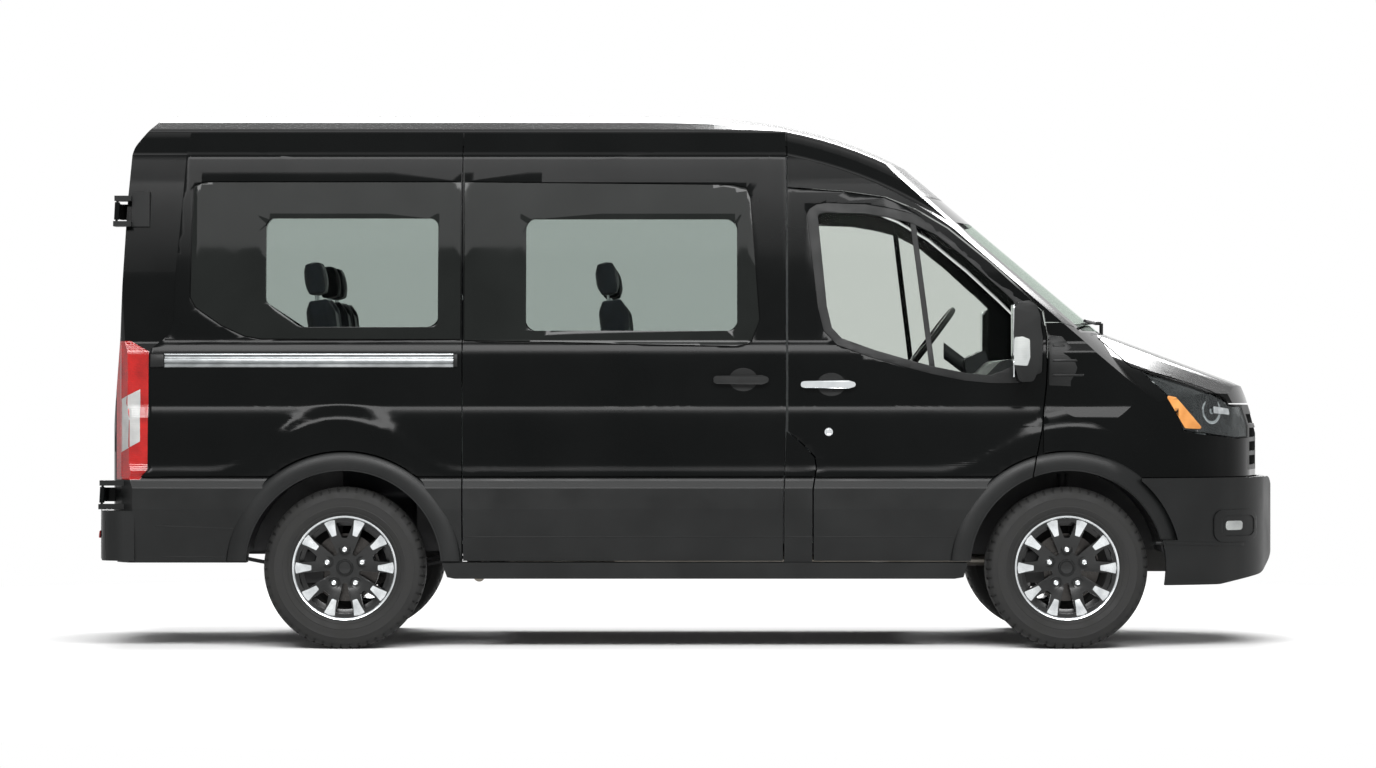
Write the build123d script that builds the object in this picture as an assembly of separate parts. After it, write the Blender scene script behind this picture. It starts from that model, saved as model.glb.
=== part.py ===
from build123d import *
import math
import os

# Medium-roof passenger van.  Millimetres, +X forward, +Y to the vehicle's left, +Z up, ground at z = 0.

# ---- driving dimensions ----
LENGTH = 5531.0
WHEELBASE = 3300.0
FRONT_OVERHANG = 1037.5
TRACK = 1740.0
HEIGHT = 2480.0
BODY_HALF = 1012.0
FLARE_HALF = 1030.0
SILL_Z = 396.0
WALL = 55.0
GAP = 7.0
SEAT_GAP = 0.3

TYRE_R = 370.0
TYRE_W = 235.0
RIM_R = 226.0
RIM_FLANGE_R = 238.0
LUG_PCD = 160.0
LUG_COUNT = 5
DISC_R = 155.0
DISC_T = 24.0
STUD_R = 7.0

ARCH_R = 445.0
FLARE_R = 517.0
DITCH_Y = 780.0
GLASS_T = 5.0

NOSE_X = LENGTH / 2
TAIL_X = -LENGTH / 2
FRONT_AXLE_X = NOSE_X - FRONT_OVERHANG
REAR_AXLE_X = FRONT_AXLE_X - WHEELBASE
WHEEL_Y = TRACK / 2
AXLE_Z = TYRE_R

RIGHT, LEFT = -1, 1


# ---- helpers ----
def fitted(points, radius):
    """Corner radii, each held to what the sides beside the corner have room for."""
    count = len(points)
    wanted = list(radius) if isinstance(radius, (list, tuple)) else [radius] * count
    result = []
    for i, want in enumerate(wanted):
        here, before, after = points[i], points[i - 1], points[(i + 1) % count]
        ua = math.atan2(here[1] - before[1], here[0] - before[0])
        ub = math.atan2(after[1] - here[1], after[0] - here[0])
        turn = abs(math.remainder(ub - ua, 2 * math.pi))
        room = 0.48 * min(math.dist(here, before), math.dist(here, after))
        result.append(0.0 if turn < 1e-4 else min(want, room / math.tan(turn / 2)))
    return result


def rounded_face(points, place, radius):
    """Face of an outline given by (a, b) pairs that place() puts in space."""
    pts = [place(a, b) for a, b in points]
    if not radius:
        return make_face(Polyline(*pts, close=True))
    return make_face(FilletPolyline(*pts, radius=fitted(points, radius), close=True))


def xz_face(points, radius=0.0):
    return rounded_face(points, lambda x, z: (x, 0, z), radius)


def xy_face(points, z=0.0, radius=0.0):
    return rounded_face(points, lambda x, y: (x, y, z), radius)


def yz_face(points, x=0.0, radius=0.0):
    return rounded_face(points, lambda y, z: (x, y, z), radius)


def across(points, y0, y1, radius=0.0):
    """Prism of an XZ outline from y0 to y1."""
    face = xz_face(points, radius).moved(Location((0, y0, 0)))
    return extrude(face, amount=y1 - y0, dir=(0, 1, 0))


def upright(points, z0, z1, radius=0.0):
    """Prism of an XY outline from z0 to z1."""
    return extrude(xy_face(points, z0, radius), amount=z1 - z0, dir=(0, 0, 1))


def along(points, x0, x1, radius=0.0):
    """Prism of a YZ outline from x0 to x1."""
    return extrude(yz_face(points, x0, radius), amount=x1 - x0, dir=(1, 0, 0))


def block(x0, x1, y0, y1, z0, z1):
    """Box between two corners."""
    size = (abs(x1 - x0), abs(y1 - y0), abs(z1 - z0))
    return Pos((x0 + x1) / 2, (y0 + y1) / 2, (z0 + z1) / 2) * Box(*size)


def barrel(radius, x, z, y0, y1):
    """Cylinder on a Y axis from y0 to y1."""
    centre = Location((x, (y0 + y1) / 2, z), (90, 0, 0))
    return centre * Cylinder(radius, abs(y1 - y0))


def post(radius, x, y, z0, z1):
    """Cylinder on a Z axis from z0 to z1."""
    return Pos(x, y, (z0 + z1) / 2) * Cylinder(radius, abs(z1 - z0))


def rod(p0, p1, radius):
    """Round bar between two points."""
    a, b = Vector(*p0), Vector(*p1)
    plane = Plane(origin=a, z_dir=(b - a))
    return extrude(plane * Circle(radius), amount=(b - a).length)


def side_box(side, x0, x1, y0, y1, z0, z1):
    """Box on one side of the vehicle; y0 and y1 are distances from the centre plane."""
    return block(x0, x1, side * y0, side * y1, z0, z1)


def side_across(side, points, y0, y1, radius=0.0):
    """Prism of an XZ outline between two distances from the centre plane."""
    lo, hi = sorted((side * y0, side * y1))
    return across(points, lo, hi, radius)


def grown(points, gap):
    """Outline moved outward by a gap."""
    face = make_face(Polyline(*[(x, z) for x, z in points], close=True))
    loop = offset(face.outer_wire(), amount=gap, kind=Kind.INTERSECTION)
    edge_face = make_face(loop.edges())
    return edge_face


def across_grown(side, points, gap, y0, y1):
    """Prism of an outline grown by a gap, between two distances from the centre plane."""
    lo, hi = sorted((side * y0, side * y1))
    face = grown(points, gap).rotate(Axis.X, 90).moved(Location((0, lo, 0)))
    return extrude(face, amount=hi - lo, dir=(0, 1, 0))


def solids_of(shape):
    """Solids of a shape that are more than slivers."""
    return [s for s in shape.solids() if s.volume > 2000.0]


def save(name, *shapes):
    """One STEP file holding the solids of one node."""
    parts = []
    for shape in shapes:
        parts.extend(solids_of(shape))
    whole = parts[0] if len(parts) == 1 else Compound(children=parts)
    whole.label = name
    export_step(whole, f"parts/{name}.step")
    print(name, len(parts), round(sum(p.volume for p in parts) / 1e6, 2))


os.makedirs("parts", exist_ok=True)

# ---- outer skin ----
# half section of the body side, distance from the centre plane against height, above the roof to the sill
SECTION = [
    (0.0, HEIGHT + 120.0), (850.0, HEIGHT + 120.0), (868.0, 2260.0), (884.0, 2140.0), (950.0, 1700.0), (975.0, 1402.0), (994.0, 1352.0), (997.0, 1225.0), (990.0, 1120.0),
    (1008.0, 1052.0), (1004.0, 850.0), (1018.0, 806.0), (1006.0, 786.0), (1012.0, 768.0),
    (1028.0, 736.0), (1028.0, 640.0), (1006.0, SILL_Z),
]
SECTION_RADII = [
    0.0, 0.0, 600.0, 1500.0, 700.0, 60.0, 60.0, 300.0, 90.0, 60.0, 120.0,
    20.0, 10.0, 8.0, 12.0, 60.0, 0.0,
]
ring = SECTION + [(-y, z) for y, z in reversed(SECTION[1:])]
ring_radii = SECTION_RADII + list(reversed(SECTION_RADII[1:]))
skin_section = along(ring, TAIL_X - 100, NOSE_X + 100, ring_radii)

# cabin profile, rear bottom to windscreen
CABIN = [
    (-2660.0, SILL_Z), (-2648.0, 900.0), (-2598.0, 1420.0), (-2568.0, 2050.0), (-2548.0, 2290.0), (-2400.0, 2490.0),
    (-2000.0, 2600.0), (2190.0, 2600.0), (2190.0, SILL_Z),
]
CABIN_RADII = [0.0, 300.0, 900.0, 700.0, 110.0, 0.0, 0.0, 0.0, 0.0]

# the roof line falls away to the front in a growing curve, and the whole crown of the roof follows it down
FALL_X0, FALL_X1, FALL_RUN, FALL_DROP, FALL_POWER, FALL_STEPS = -300.0, 1200.0, 1404.0, 300.0, 2.8, 18
CROWN_UPPER = [(0.0, 0.0), (330.0, -12.0), (640.0, -55.0), (790.0, -108.0), (856.0, -215.0), (1150.0, -330.0),
               (1150.0, -3200.0)]
CROWN_UPPER_RADII = [2600.0, 900.0, 220.0, 120.0, 30.0, 0.0, 0.0]
# back to the cab the roof's edges stay level and only its middle falls
EDGE_LEVEL_X = 440.0
CROWN_SHARE = [1.0, 0.97, 0.7, 0.0, 0.0, 0.0, 0.0]


def roof_height(x):
    """Height of the roof on the centre plane."""
    reach = min(x, FALL_X1)
    height = HEIGHT - FALL_DROP * (max(reach - FALL_X0, 0.0) / FALL_RUN) ** FALL_POWER
    slope = FALL_DROP * FALL_POWER / FALL_RUN * ((FALL_X1 - FALL_X0) / FALL_RUN) ** (FALL_POWER - 1.0)
    return height - slope * (x - reach)


def under_roof_line(drop=0.0, pinch=0.0):
    """Space under the crowned roof that falls away to the front, lowered by a drop and narrowed by a pinch."""
    step = (FALL_X1 - FALL_X0) / FALL_STEPS
    places = sorted([-2900.0, EDGE_LEVEL_X, 2300.0] + [FALL_X0 + step * k for k in range(FALL_STEPS + 1)])
    sections = []
    for x in places:
        level = HEIGHT - roof_height(min(x, EDGE_LEVEL_X))
        half = [(max(y - pinch, 0.0), roof_height(x) + dz - drop + level * (1.0 - share))
                for (y, dz), share in zip(CROWN_UPPER, CROWN_SHARE)]
        ring_points = half + [(-y, h) for y, h in reversed(half[1:])]
        sections.append(yz_face(ring_points, x, CROWN_UPPER_RADII + list(reversed(CROWN_UPPER_RADII[1:]))))
    return loft(sections, ruled=True)


cabin = across(CABIN, -1200, 1200, CABIN_RADII) & under_roof_line()

# windscreen and roof front are bowed in plan: an arc carried down the slope of the glass
SLOPE_X, SLOPE_Z = 763.0, -640.0
BOW_R = 2500.0
BOW_Z = 1443.0
BOW_X = 1958.0


def bow(back):
    """Space behind the bowed windscreen surface moved back by a distance."""
    x_front = BOW_X - back
    arc = ThreePointArc((x_front - 330.0, -1243.0, BOW_Z), (x_front, 0, BOW_Z), (x_front - 330.0, 1243.0, BOW_Z))
    rest = Polyline((x_front - 330.0, 1243.0, BOW_Z), (-5500, 1243.0, BOW_Z), (-5500, -1243.0, BOW_Z),
                    (x_front - 330.0, -1243.0, BOW_Z))
    face = make_face([arc, rest])
    low = face.moved(Location((1.8 * SLOPE_X, 0, 1.8 * SLOPE_Z)))
    length = 3.9 * math.hypot(SLOPE_X, SLOPE_Z)
    return extrude(low, amount=length, dir=(-SLOPE_X, 0, -SLOPE_Z))


# nose: plan outline, front profile and crowned bonnet carried down its slope
FRONT_PLAN = [
    (1500.0, 1040.0), (1950.0, 1014.0), (2330.0, 900.0), (2585.0, 640.0), (2682.0, 210.0),
]
plan_ring = (
    [(-2664.0, -20.0), (-2656.0, -640.0), (-2636.0, -860.0), (-2590.0, -950.0), (-2480.0, -1100.0)]
    + [(x, -y) for x, y in FRONT_PLAN] + list(reversed(FRONT_PLAN))
    + [(-2480.0, 1100.0), (-2590.0, 950.0), (-2636.0, 860.0), (-2656.0, 640.0), (-2664.0, 20.0)]
)
plan_radii = [0.0, 900.0, 200.0, 90.0, 0.0, 0.0, 900.0, 800.0, 520.0, 800.0]
plan_radii = plan_radii + list(reversed(plan_radii))
plan = upright(plan_ring, SILL_Z - 10, HEIGHT + 100, plan_radii)

NOSE = [
    (1300.0, SILL_Z), (1300.0, 1900.0), (2430.0, 1500.0), (2566.0, 1232.0), (2640.0, 1130.0),
    (2690.0, 940.0), (2708.0, 740.0), (2708.0, SILL_Z),
]
NOSE_RADII = [0.0, 0.0, 0.0, 100.0, 160.0, 500.0, 0.0, 0.0]
NOSE_BOW_R, NOSE_BOW_X, NOSE_BOW_Z, NOSE_BOW_RUN = 1900.0, 2652.0, 1115.0, 0.32


def nose_bow(back):
    """Space behind the bowed face of the upper nose, moved back by a distance."""
    drop = NOSE_BOW_R - math.sqrt(NOSE_BOW_R ** 2 - 1200.0 ** 2)
    rise = 700.0
    x_top = NOSE_BOW_X - back - rise * NOSE_BOW_RUN
    z_top = NOSE_BOW_Z + rise
    arc = ThreePointArc((x_top - drop, -1200, z_top), (x_top, 0, z_top), (x_top - drop, 1200, z_top))
    rest = Polyline((x_top - drop, 1200, z_top), (900, 1200, z_top), (900, -1200, z_top), (x_top - drop, -1200, z_top))
    run = z_top
    return extrude(make_face([arc, rest]), amount=math.hypot(run, run * NOSE_BOW_RUN), dir=(NOSE_BOW_RUN, 0, -1))


nose = across(NOSE, -1200, 1200, NOSE_RADII) & nose_bow(0.0)

BONNET_X0, BONNET_X1 = 1500.0, 2800.0
BONNET_DROP = 0.372
BONNET_CROWN = [
    (0.0, 1700.0), (560.0, 1668.0), (860.0, 1566.0), (965.0, 1440.0), (1080.0, 1080.0), (1080.0, -700.0),
]
BONNET_CROWN_RADII = [2400.0, 500.0, 130.0, 300.0, 0.0, 0.0]
crown_ring = BONNET_CROWN + [(-y, z) for y, z in reversed(BONNET_CROWN[1:])]
crown_radii = BONNET_CROWN_RADII + list(reversed(BONNET_CROWN_RADII[1:]))


def bonnet_space(drop):
    """Space under the crowned bonnet surface lowered by a distance."""
    face = yz_face([(y, z - drop) for y, z in crown_ring], BONNET_X0 - 200, crown_radii)
    run = BONNET_X1 - BONNET_X0 + 200
    return extrude(face, amount=math.hypot(run, run * BONNET_DROP), dir=(1, 0, -BONNET_DROP))


cabin_outer = cabin & bow(0.0)
front_outer = nose & bonnet_space(0.0)
outer = (cabin_outer + front_outer) & skin_section & plan

# ---- inner skin: one wall thickness inside, plainer ----
INNER = [
    (0.0, HEIGHT + 120.0), (802.0, HEIGHT + 120.0), (815.0, 2240.0), (895.0, 1700.0), (925.0, 1380.0),
    (940.0, 1250.0), (940.0, 480.0),
]
INNER_RADII = [0.0, 0.0, 300.0, 900.0, 300.0, 60.0, 0.0]
inner_ring = INNER + [(-y, z) for y, z in reversed(INNER[1:])]
inner_radii = INNER_RADII + list(reversed(INNER_RADII[1:]))
inner_section = along(inner_ring, -2595, NOSE_X - 110, inner_radii)
INNER_CABIN = [
    (-2595.0, 300.0), (-2585.0, 900.0), (-2540.0, 1420.0), (-2510.0, 2050.0), (-2490.0, 2270.0), (-2370.0, 2430.0),
    (-2000.0, 2600.0), (2120.0, 2600.0), (2120.0, 300.0),
]
INNER_CABIN_RADII = [0.0, 300.0, 900.0, 700.0, 60.0, 0.0, 0.0, 0.0, 0.0]
inner_cabin = across(INNER_CABIN, -1100, 1100, INNER_CABIN_RADII) & bow(60.0) & under_roof_line(45.0, 50.0)
INNER_NOSE = [(1300.0, 300.0), (1300.0, 1700.0), (2480.0, 1300.0), (2580.0, 1080.0), (2625.0, 900.0), (2640.0, 300.0)]
inner_plan = [
    (-2600.0, -980.0), (1500.0, -980.0), (1930.0, -950.0), (2285.0, -840.0), (2515.0, -610.0), (2608.0, -220.0),
    (2608.0, 220.0), (2515.0, 610.0), (2285.0, 840.0), (1930.0, 950.0), (1500.0, 980.0), (-2600.0, 980.0),
]
inner_nose = across(INNER_NOSE, -1100, 1100) & bonnet_space(42.0) & nose_bow(60.0)
inner = (inner_cabin + inner_nose) & inner_section & upright(inner_plan, 200, HEIGHT)

arches = (
    barrel(ARCH_R, FRONT_AXLE_X, AXLE_Z, -1200, 1200) + barrel(ARCH_R, REAR_AXLE_X, AXLE_Z, -1200, 1200)
)
shell = outer - inner - arches - block(-3000, 3000, -900, 900, 0, 480)

# ---- outlines of the side, x against height ----
SLIDING_DOOR = [(-1028.0, 404.0), (-1034.0, 2296.0), (447.0, 2296.0), (440.0, 900.0), (429.0, 700.0), (429.0, 404.0)]
FRONT_DOOR = [
    (454.0, 2106.0), (711.0, 2088.0), (902.0, 2061.0), (1038.0, 2006.0), (1184.0, 1920.0), (1375.0, 1765.0),
    (1539.0, 1615.0), (1614.0, 1542.0), (1634.0, 1424.0), (1628.0, 1215.0), (1607.0, 1010.0), (1566.0, 792.0),
    (1500.0, 404.0), (570.0, 404.0), (570.0, 733.0), (585.0, 819.0), (579.0, 878.0), (524.0, 937.0), (454.0, 996.0),
]
QUARTER_GLASS = [
    (-2265.0, 2118.0), (-2215.0, 2133.0), (-1038.0, 2133.0), (-1038.0, 1415.0), (-1950.0, 1417.0), (-2025.0, 1430.0),
    (-2130.0, 1478.0), (-2248.0, 1560.0), (-2274.0, 1606.0),
]
QUARTER_HOLE = [(-1933.0, 1975.0), (-1141.0, 1975.0), (-1141.0, 1470.0), (-1774.0, 1470.0), (-1933.0, 1583.0)]
SLIDING_GLASS = [
    (-1029.0, 2133.0), (200.0, 2121.0), (262.0, 2107.0), (281.0, 2061.0), (322.0, 1501.0), (281.0, 1397.0),
    (215.0, 1383.0), (-1029.0, 1410.0),
]
SLIDING_HOLE = [(-745.0, 1970.0), (224.0, 1965.0), (224.0, 1450.0), (-745.0, 1450.0)]
DOOR_GLASS = [
    (585.0, 1990.0), (627.0, 2001.0), (807.0, 1995.0), (929.0, 1975.0), (1025.0, 1950.0), (1134.0, 1897.0),
    (1261.0, 1797.0), (1411.0, 1663.0), (1490.0, 1590.0), (1490.0, 1290.0), (1375.0, 1244.0), (1261.0, 1256.0),
    (1125.0, 1283.0), (1020.0, 1310.0), (847.0, 1360.0), (695.0, 1415.0), (649.0, 1465.0), (626.0, 1565.0),
]
LEFT_MID_GLASS = [(-1029.0, 2133.0), (330.0, 2121.0), (330.0, 1397.0), (-1029.0, 1410.0)]
LEFT_MID_HOLE = [(-850.0, 2060.0), (262.0, 2055.0), (262.0, 1460.0), (-850.0, 1460.0)]
LEFT_QUARTER_HOLE = [(-2140.0, 2060.0), (-1141.0, 2060.0), (-1141.0, 1470.0), (-1900.0, 1470.0), (-2140.0, 1630.0)]

FACE_LINE = [(858.0, 2285.0), (884.0, 2140.0), (950.0, 1700.0), (975.0, 1402.0), (992.0, 1240.0)]


def side_layer(side, depth0, depth1):
    """Layer of the window-height body side between two depths below the skin."""
    outer_line = [(side * (y - depth0), z) for y, z in FACE_LINE]
    inner_line = [(side * (y - depth1), z) for y, z in reversed(FACE_LINE)]
    radii = [0.0, 320.0, 1500.0, 700.0, 0.0]
    return along(outer_line + inner_line, TAIL_X, NOSE_X, radii + radii)


def set_in(panel, side, pane, hole, reach=700.0):
    """Panel with a recess for a bonded pane and a see-through hole in it."""
    recess = side_layer(side, -80.0, 7.0) & side_across(side, outset(pane, 4.0), reach, 1200, 30.0)
    return panel - recess - side_across(side, hole, reach, 1200, 60.0)


def bonded(side, pane):
    """Bonded side pane, its face just under the skin."""
    return side_layer(side, 1.0, 6.7) & side_across(side, pane, 700, 1200, 28.0)


def outset(points, gap):
    """Outline with each corner moved out so that every side moves by the gap."""
    area = sum(a[0] * b[1] - b[0] * a[1] for a, b in zip(points, points[1:] + points[:1]))
    turn = 1.0 if area > 0 else -1.0
    result = []
    count = len(points)
    for i, here in enumerate(points):
        before, after = points[i - 1], points[(i + 1) % count]
        ux, uz = here[0] - before[0], here[1] - before[1]
        vx, vz = after[0] - here[0], after[1] - here[1]
        lu, lv = math.hypot(ux, uz), math.hypot(vx, vz)
        nu = (turn * uz / lu, -turn * ux / lu)
        nv = (turn * vz / lv, -turn * vx / lv)
        scale = 1.0 + nu[0] * nv[0] + nu[1] * nv[1]
        result.append((here[0] + gap * (nu[0] + nv[0]) / scale, here[1] + gap * (nu[1] + nv[1]) / scale))
    return result


# ---- wheel-arch flares, wedge section rings outside the skin ----
FLARE_IN = 903.0
LINER_Y, LINER_R = 934.0, ARCH_R + 10.4
FLARE_PLAN = [(-2600.0, FLARE_HALF), (1780.0, FLARE_HALF), (1950.0, 1026.0), (2330.0, 914.0), (2500.0, 800.0)]
flare_ring = FLARE_PLAN + [(x, -y) for x, y in reversed(FLARE_PLAN)]
flare_plan = upright(flare_ring, 300, 1000, [0, 400, 700, 600, 0, 0, 600, 700, 400, 0])


def flare(side, axle_x, z_low_front, z_low_rear):
    ring_part = barrel(FLARE_R, axle_x, AXLE_Z, side * FLARE_IN, side * FLARE_HALF) - barrel(
        ARCH_R, axle_x, AXLE_Z, side * (FLARE_IN - 50), side * 1100
    )
    ring_part = ring_part & flare_plan
    ring_part = ring_part - barrel(LINER_R, axle_x, AXLE_Z, side * (FLARE_IN - 50), side * LINER_Y)
    ring_part = ring_part - side_box(side, -3000, axle_x + 250, 800, LINER_Y, 0, 1000)
    if axle_x < 0:
        ring_part = ring_part - side_box(side, -2600, 0, 800, 985, 0, 1000)
    low_front = block(axle_x, axle_x + 700, -1200, 1200, -400, z_low_front)
    low_rear = block(axle_x - 700, axle_x, -1200, 1200, -400, z_low_rear)
    return ring_part - low_front - low_rear


def door_cut(side):
    return side_across(side, outset(FRONT_DOOR, GAP), 700, 1200)


FLARE_FRONT_Z, FLARE_REAR_Z = 500.0, 404.0
front_flares = {side: flare(side, FRONT_AXLE_X, FLARE_FRONT_Z, FLARE_REAR_Z) for side in (RIGHT, LEFT)}
rear_flares = {side: flare(side, REAR_AXLE_X, FLARE_REAR_Z, FLARE_REAR_Z) for side in (RIGHT, LEFT)}

# ---- front doors ----
STEP_IN, STEP_DEPTH = 14.0, 12.0


def door_core(side):
    """Space under the outer flange of a front door's edge."""
    pts = [(side * (y - STEP_DEPTH), z) for y, z in FACE_LINE] + [(side * 986.0, 380.0), (side * 600.0, 380.0),
                                                                  (side * 600.0, 2285.0)]
    return along(pts, TAIL_X, NOSE_X)


front_doors = {}
for side in (RIGHT, LEFT):
    whole = shell & side_across(side, FRONT_DOOR, 700, 1200)
    rim_zone = door_core(side) - side_across(side, outset(FRONT_DOOR, -STEP_IN), 500, 1200)
    body = whole - rim_zone - side_box(side, 0, 1700, 600, 908, 0, 487)
    trim = (front_flares[side] & side_across(side, FRONT_DOOR, 985, 1200)) - body
    body = body + trim
    body = body - side_across(side, DOOR_GLASS, 700, 1200)
    front_doors[side] = body
DOOR_NAMES = {RIGHT: "front_door_right", LEFT: "front_door_left"}
for side, name in DOOR_NAMES.items():
    save(name, front_doors[side])
    pane = side_layer(side, 12.0, 17.0) & side_across(side, outset(DOOR_GLASS, -0.3), 700, 1200)
    save(name.replace("door", "door_glass"), pane)

# ---- roof ----
ROOF_BACK, ROOF_FRONT = -2500.0, 1060.0
HEADER_X, HEADER_SIDE_X = 1205.0, 1077.0


def roof_plan(gap):
    """Plan outline of the roof panel, its front edge following the bow of the windscreen."""
    front_arc = ThreePointArc((HEADER_SIDE_X + gap, -DITCH_Y - gap, 2000), (HEADER_X + gap, 0, 2000),
                              (HEADER_SIDE_X + gap, DITCH_Y + gap, 2000))
    back = Polyline((HEADER_SIDE_X + gap, DITCH_Y + gap, 2000), (ROOF_BACK - gap, DITCH_Y + gap, 2000),
                    (ROOF_BACK - gap, -DITCH_Y - gap, 2000), (HEADER_SIDE_X + gap, -DITCH_Y - gap, 2000))
    return extrude(make_face([front_arc, back]), amount=700, dir=(0, 0, 1))


roof = shell & roof_plan(0.0)
save("roof_panel", roof)
rest = shell - roof_plan(3.0)

# ---- rear doors and lights ----
REAR_DOOR_IN, REAR_DOOR_Z0, REAR_DOOR_Z1 = 3.5, 650.0, 2290.0
REAR_DOOR = [
    (REAR_DOOR_IN, REAR_DOOR_Z0), (880.0, REAR_DOOR_Z0), (880.0, 1400.0), (850.0, 1700.0), (792.0, 2140.0),
    (765.0, 2240.0), (725.0, REAR_DOOR_Z1), (REAR_DOOR_IN, REAR_DOOR_Z1),
]
REAR_WINDOW = [(120.0, 2080.0), (735.0, 2080.0), (800.0, 1480.0), (120.0, 1480.0)]
REAR_HOLE = [(165.0, 2035.0), (690.0, 2035.0), (750.0, 1525.0), (165.0, 1525.0)]
REAR_LINE = [(-2536.0, 2434.0), (-2568.0, 2050.0), (-2598.0, 1420.0), (-2648.0, 900.0)]


def rear_layer(depth0, depth1):
    outer_line = [(x + depth0, z) for x, z in REAR_LINE]
    inner_line = [(x + depth1, z) for x, z in reversed(REAR_LINE)]
    radii = [0.0, 700.0, 900.0, 0.0]
    return across(outer_line + inner_line, -1000, 1000, radii + radii)


def rear_prism(side, points, radius=0.0):
    return along([(side * y, z) for y, z in points], -2800, -2400, radius)


def rear_outline(gap):
    """Outline of a rear door, its outer edge following the lean of the body side."""
    return outset(REAR_DOOR, gap)


REAR_DOOR_NAMES = {RIGHT: "rear_door_right", LEFT: "rear_door_left"}

# exposed hinges of the rear doors: height of the barrel's foot and head, reach of its strap on the door
HINGE_Y, HINGE_X, HINGE_Z, HINGE_RUN = 955.0, -2668.0, 900.0, 60.0 / 1150.0
HINGE_SPANS = [(1960.0, 2040.0, 780.0), (668.0, 740.0, 850.0)]
BARREL_R, PIN_R, PIN_PLAY = 12.0, 6.0, 0.4
# how far a bracket runs inboard of its pin, short of the door's edge as it swings
ARM_REACH = 50.0


def hinge_point(side, z):
    """Point of a rear door's hinge axis at a height."""
    return (HINGE_X + (z - HINGE_Z) * HINGE_RUN, side * HINGE_Y, z)


def door_hinge(side):
    """Straps and barrels that a rear door turns on."""
    parts = None
    for z0, z1, reach in HINGE_SPANS:
        x = hinge_point(side, (z0 + z1) / 2)[0]
        strap = side_box(side, x - 8, x + 4, reach, HINGE_Y, z0 + 4, z1 - 4)
        foot = side_box(side, x - 8, x + 60, reach, reach + 22, z0 + 4, z1 - 4)
        leaf = strap + foot + rod(hinge_point(side, z0), hinge_point(side, z1), BARREL_R)
        leaf = leaf - rod(hinge_point(side, z0 - 30), hinge_point(side, z1 + 30), PIN_R + PIN_PLAY)
        parts = leaf if parts is None else parts + leaf
    return parts


def body_hinge(side):
    """Pins and brackets on the body's corner."""
    skin = outer.moved(Location((-SEAT_GAP, side * SEAT_GAP, 0)))
    leaves = []
    for z0, z1, _ in HINGE_SPANS:
        pin = rod(hinge_point(side, z0 - 26), hinge_point(side, z1 + 26), PIN_R)
        high = z0 > 1200
        x_pad, y_pad = (-2465.0, 926.0) if high else (-2560.0, 970.0)
        for z_low in (z0 - 30, z1 + 6):
            x = hinge_point(side, z_low)[0]
            arm_in = 860 if high else HINGE_Y - ARM_REACH
            arm = side_box(side, x - 13, x_pad if high else -2520, arm_in, HINGE_Y + 13, z_low, z_low + 24)
            pin = pin + arm
        if high:
            pin = pin - side_box(side, -2545, -2400, y_pad, 1000, z0 - 40, z1 + 40)
            pin = pin + side_box(side, -2545, x_pad, 860, y_pad, z0 - 30, z1 + 50)
        leaves.append(pin - skin)
    return leaves


for side, name in REAR_DOOR_NAMES.items():
    door = rest & rear_prism(side, rear_outline(0.0))
    door = door - (rear_layer(STEP_DEPTH, 300.0) - rear_prism(side, rear_outline(-STEP_IN)))
    recess = rear_layer(-80.0, 7.0) & rear_prism(side, outset(REAR_WINDOW, 4.0), 40.0)
    door = door - recess - rear_prism(side, REAR_HOLE, 40.0) + (door_hinge(side) - rest)
    save(name, door)
    save(name.replace("door", "door_glass"), rear_layer(1.0, 6.7) & rear_prism(side, REAR_WINDOW, 38.0))
rest = rest - rear_prism(RIGHT, rear_outline(GAP)) - rear_prism(LEFT, rear_outline(GAP))
rest = rest - (block(-2800, -2500, -893, 893, 0, REAR_DOOR_Z0 - 60))
save("rear_door_hinges", *body_hinge(RIGHT), *body_hinge(LEFT))

TAILLIGHT = [(-2700.0, 1406.0), (-2545.0, 1406.0), (-2461.0, 1358.0), (-2466.0, 820.0), (-2500.0, 774.0), (-2700.0, 774.0)]
lights = []
for side in (RIGHT, LEFT):
    lights.append(rest & side_across(side, TAILLIGHT, 893.0, 1200))
    rest = rest - side_across(side, outset(TAILLIGHT, SEAT_GAP), 893.0 - SEAT_GAP, 1200)
save("taillights", *lights)

# ---- sides behind the cab ----
CAB_X = 447.0
sliding = rest & side_across(RIGHT, SLIDING_DOOR, 600, 1200)
sliding = set_in(sliding, RIGHT, SLIDING_GLASS, SLIDING_HOLE)
save("sliding_door", sliding)
rest = rest - side_across(RIGHT, outset(SLIDING_DOOR, GAP), 600, 1200)
rest = rest - door_cut(RIGHT) - door_cut(LEFT)
B_POST = [(CAB_X + 3, 2600.0), (CAB_X + 3, 1100.0), (620.0, 1100.0), (620.0, 0.0), (-2800.0, 0.0), (-2800.0, 2600.0)]
rear_half = across(B_POST, -1200, 1200)
right_side = rest & rear_half & block(-2800, 1700, -1200, 0, 0, 2600)
left_side = rest & rear_half & block(-2800, 1700, 0, 1200, 0, 2600)
right_side = set_in(right_side, RIGHT, QUARTER_GLASS, QUARTER_HOLE)
left_side = set_in(left_side, LEFT, QUARTER_GLASS, LEFT_QUARTER_HOLE)
left_side = set_in(left_side, LEFT, LEFT_MID_GLASS, LEFT_MID_HOLE)
# the two sides meet on the centre line above the rear doors; a header ties them
save("right_side_panel", right_side)
save("left_side_panel", left_side)
save("side_windows", bonded(RIGHT, QUARTER_GLASS), bonded(RIGHT, SLIDING_GLASS), bonded(LEFT, QUARTER_GLASS),
     bonded(LEFT, LEFT_MID_GLASS))
front = rest - across(outset(B_POST, 3.0), -1300, 1300)

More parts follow.
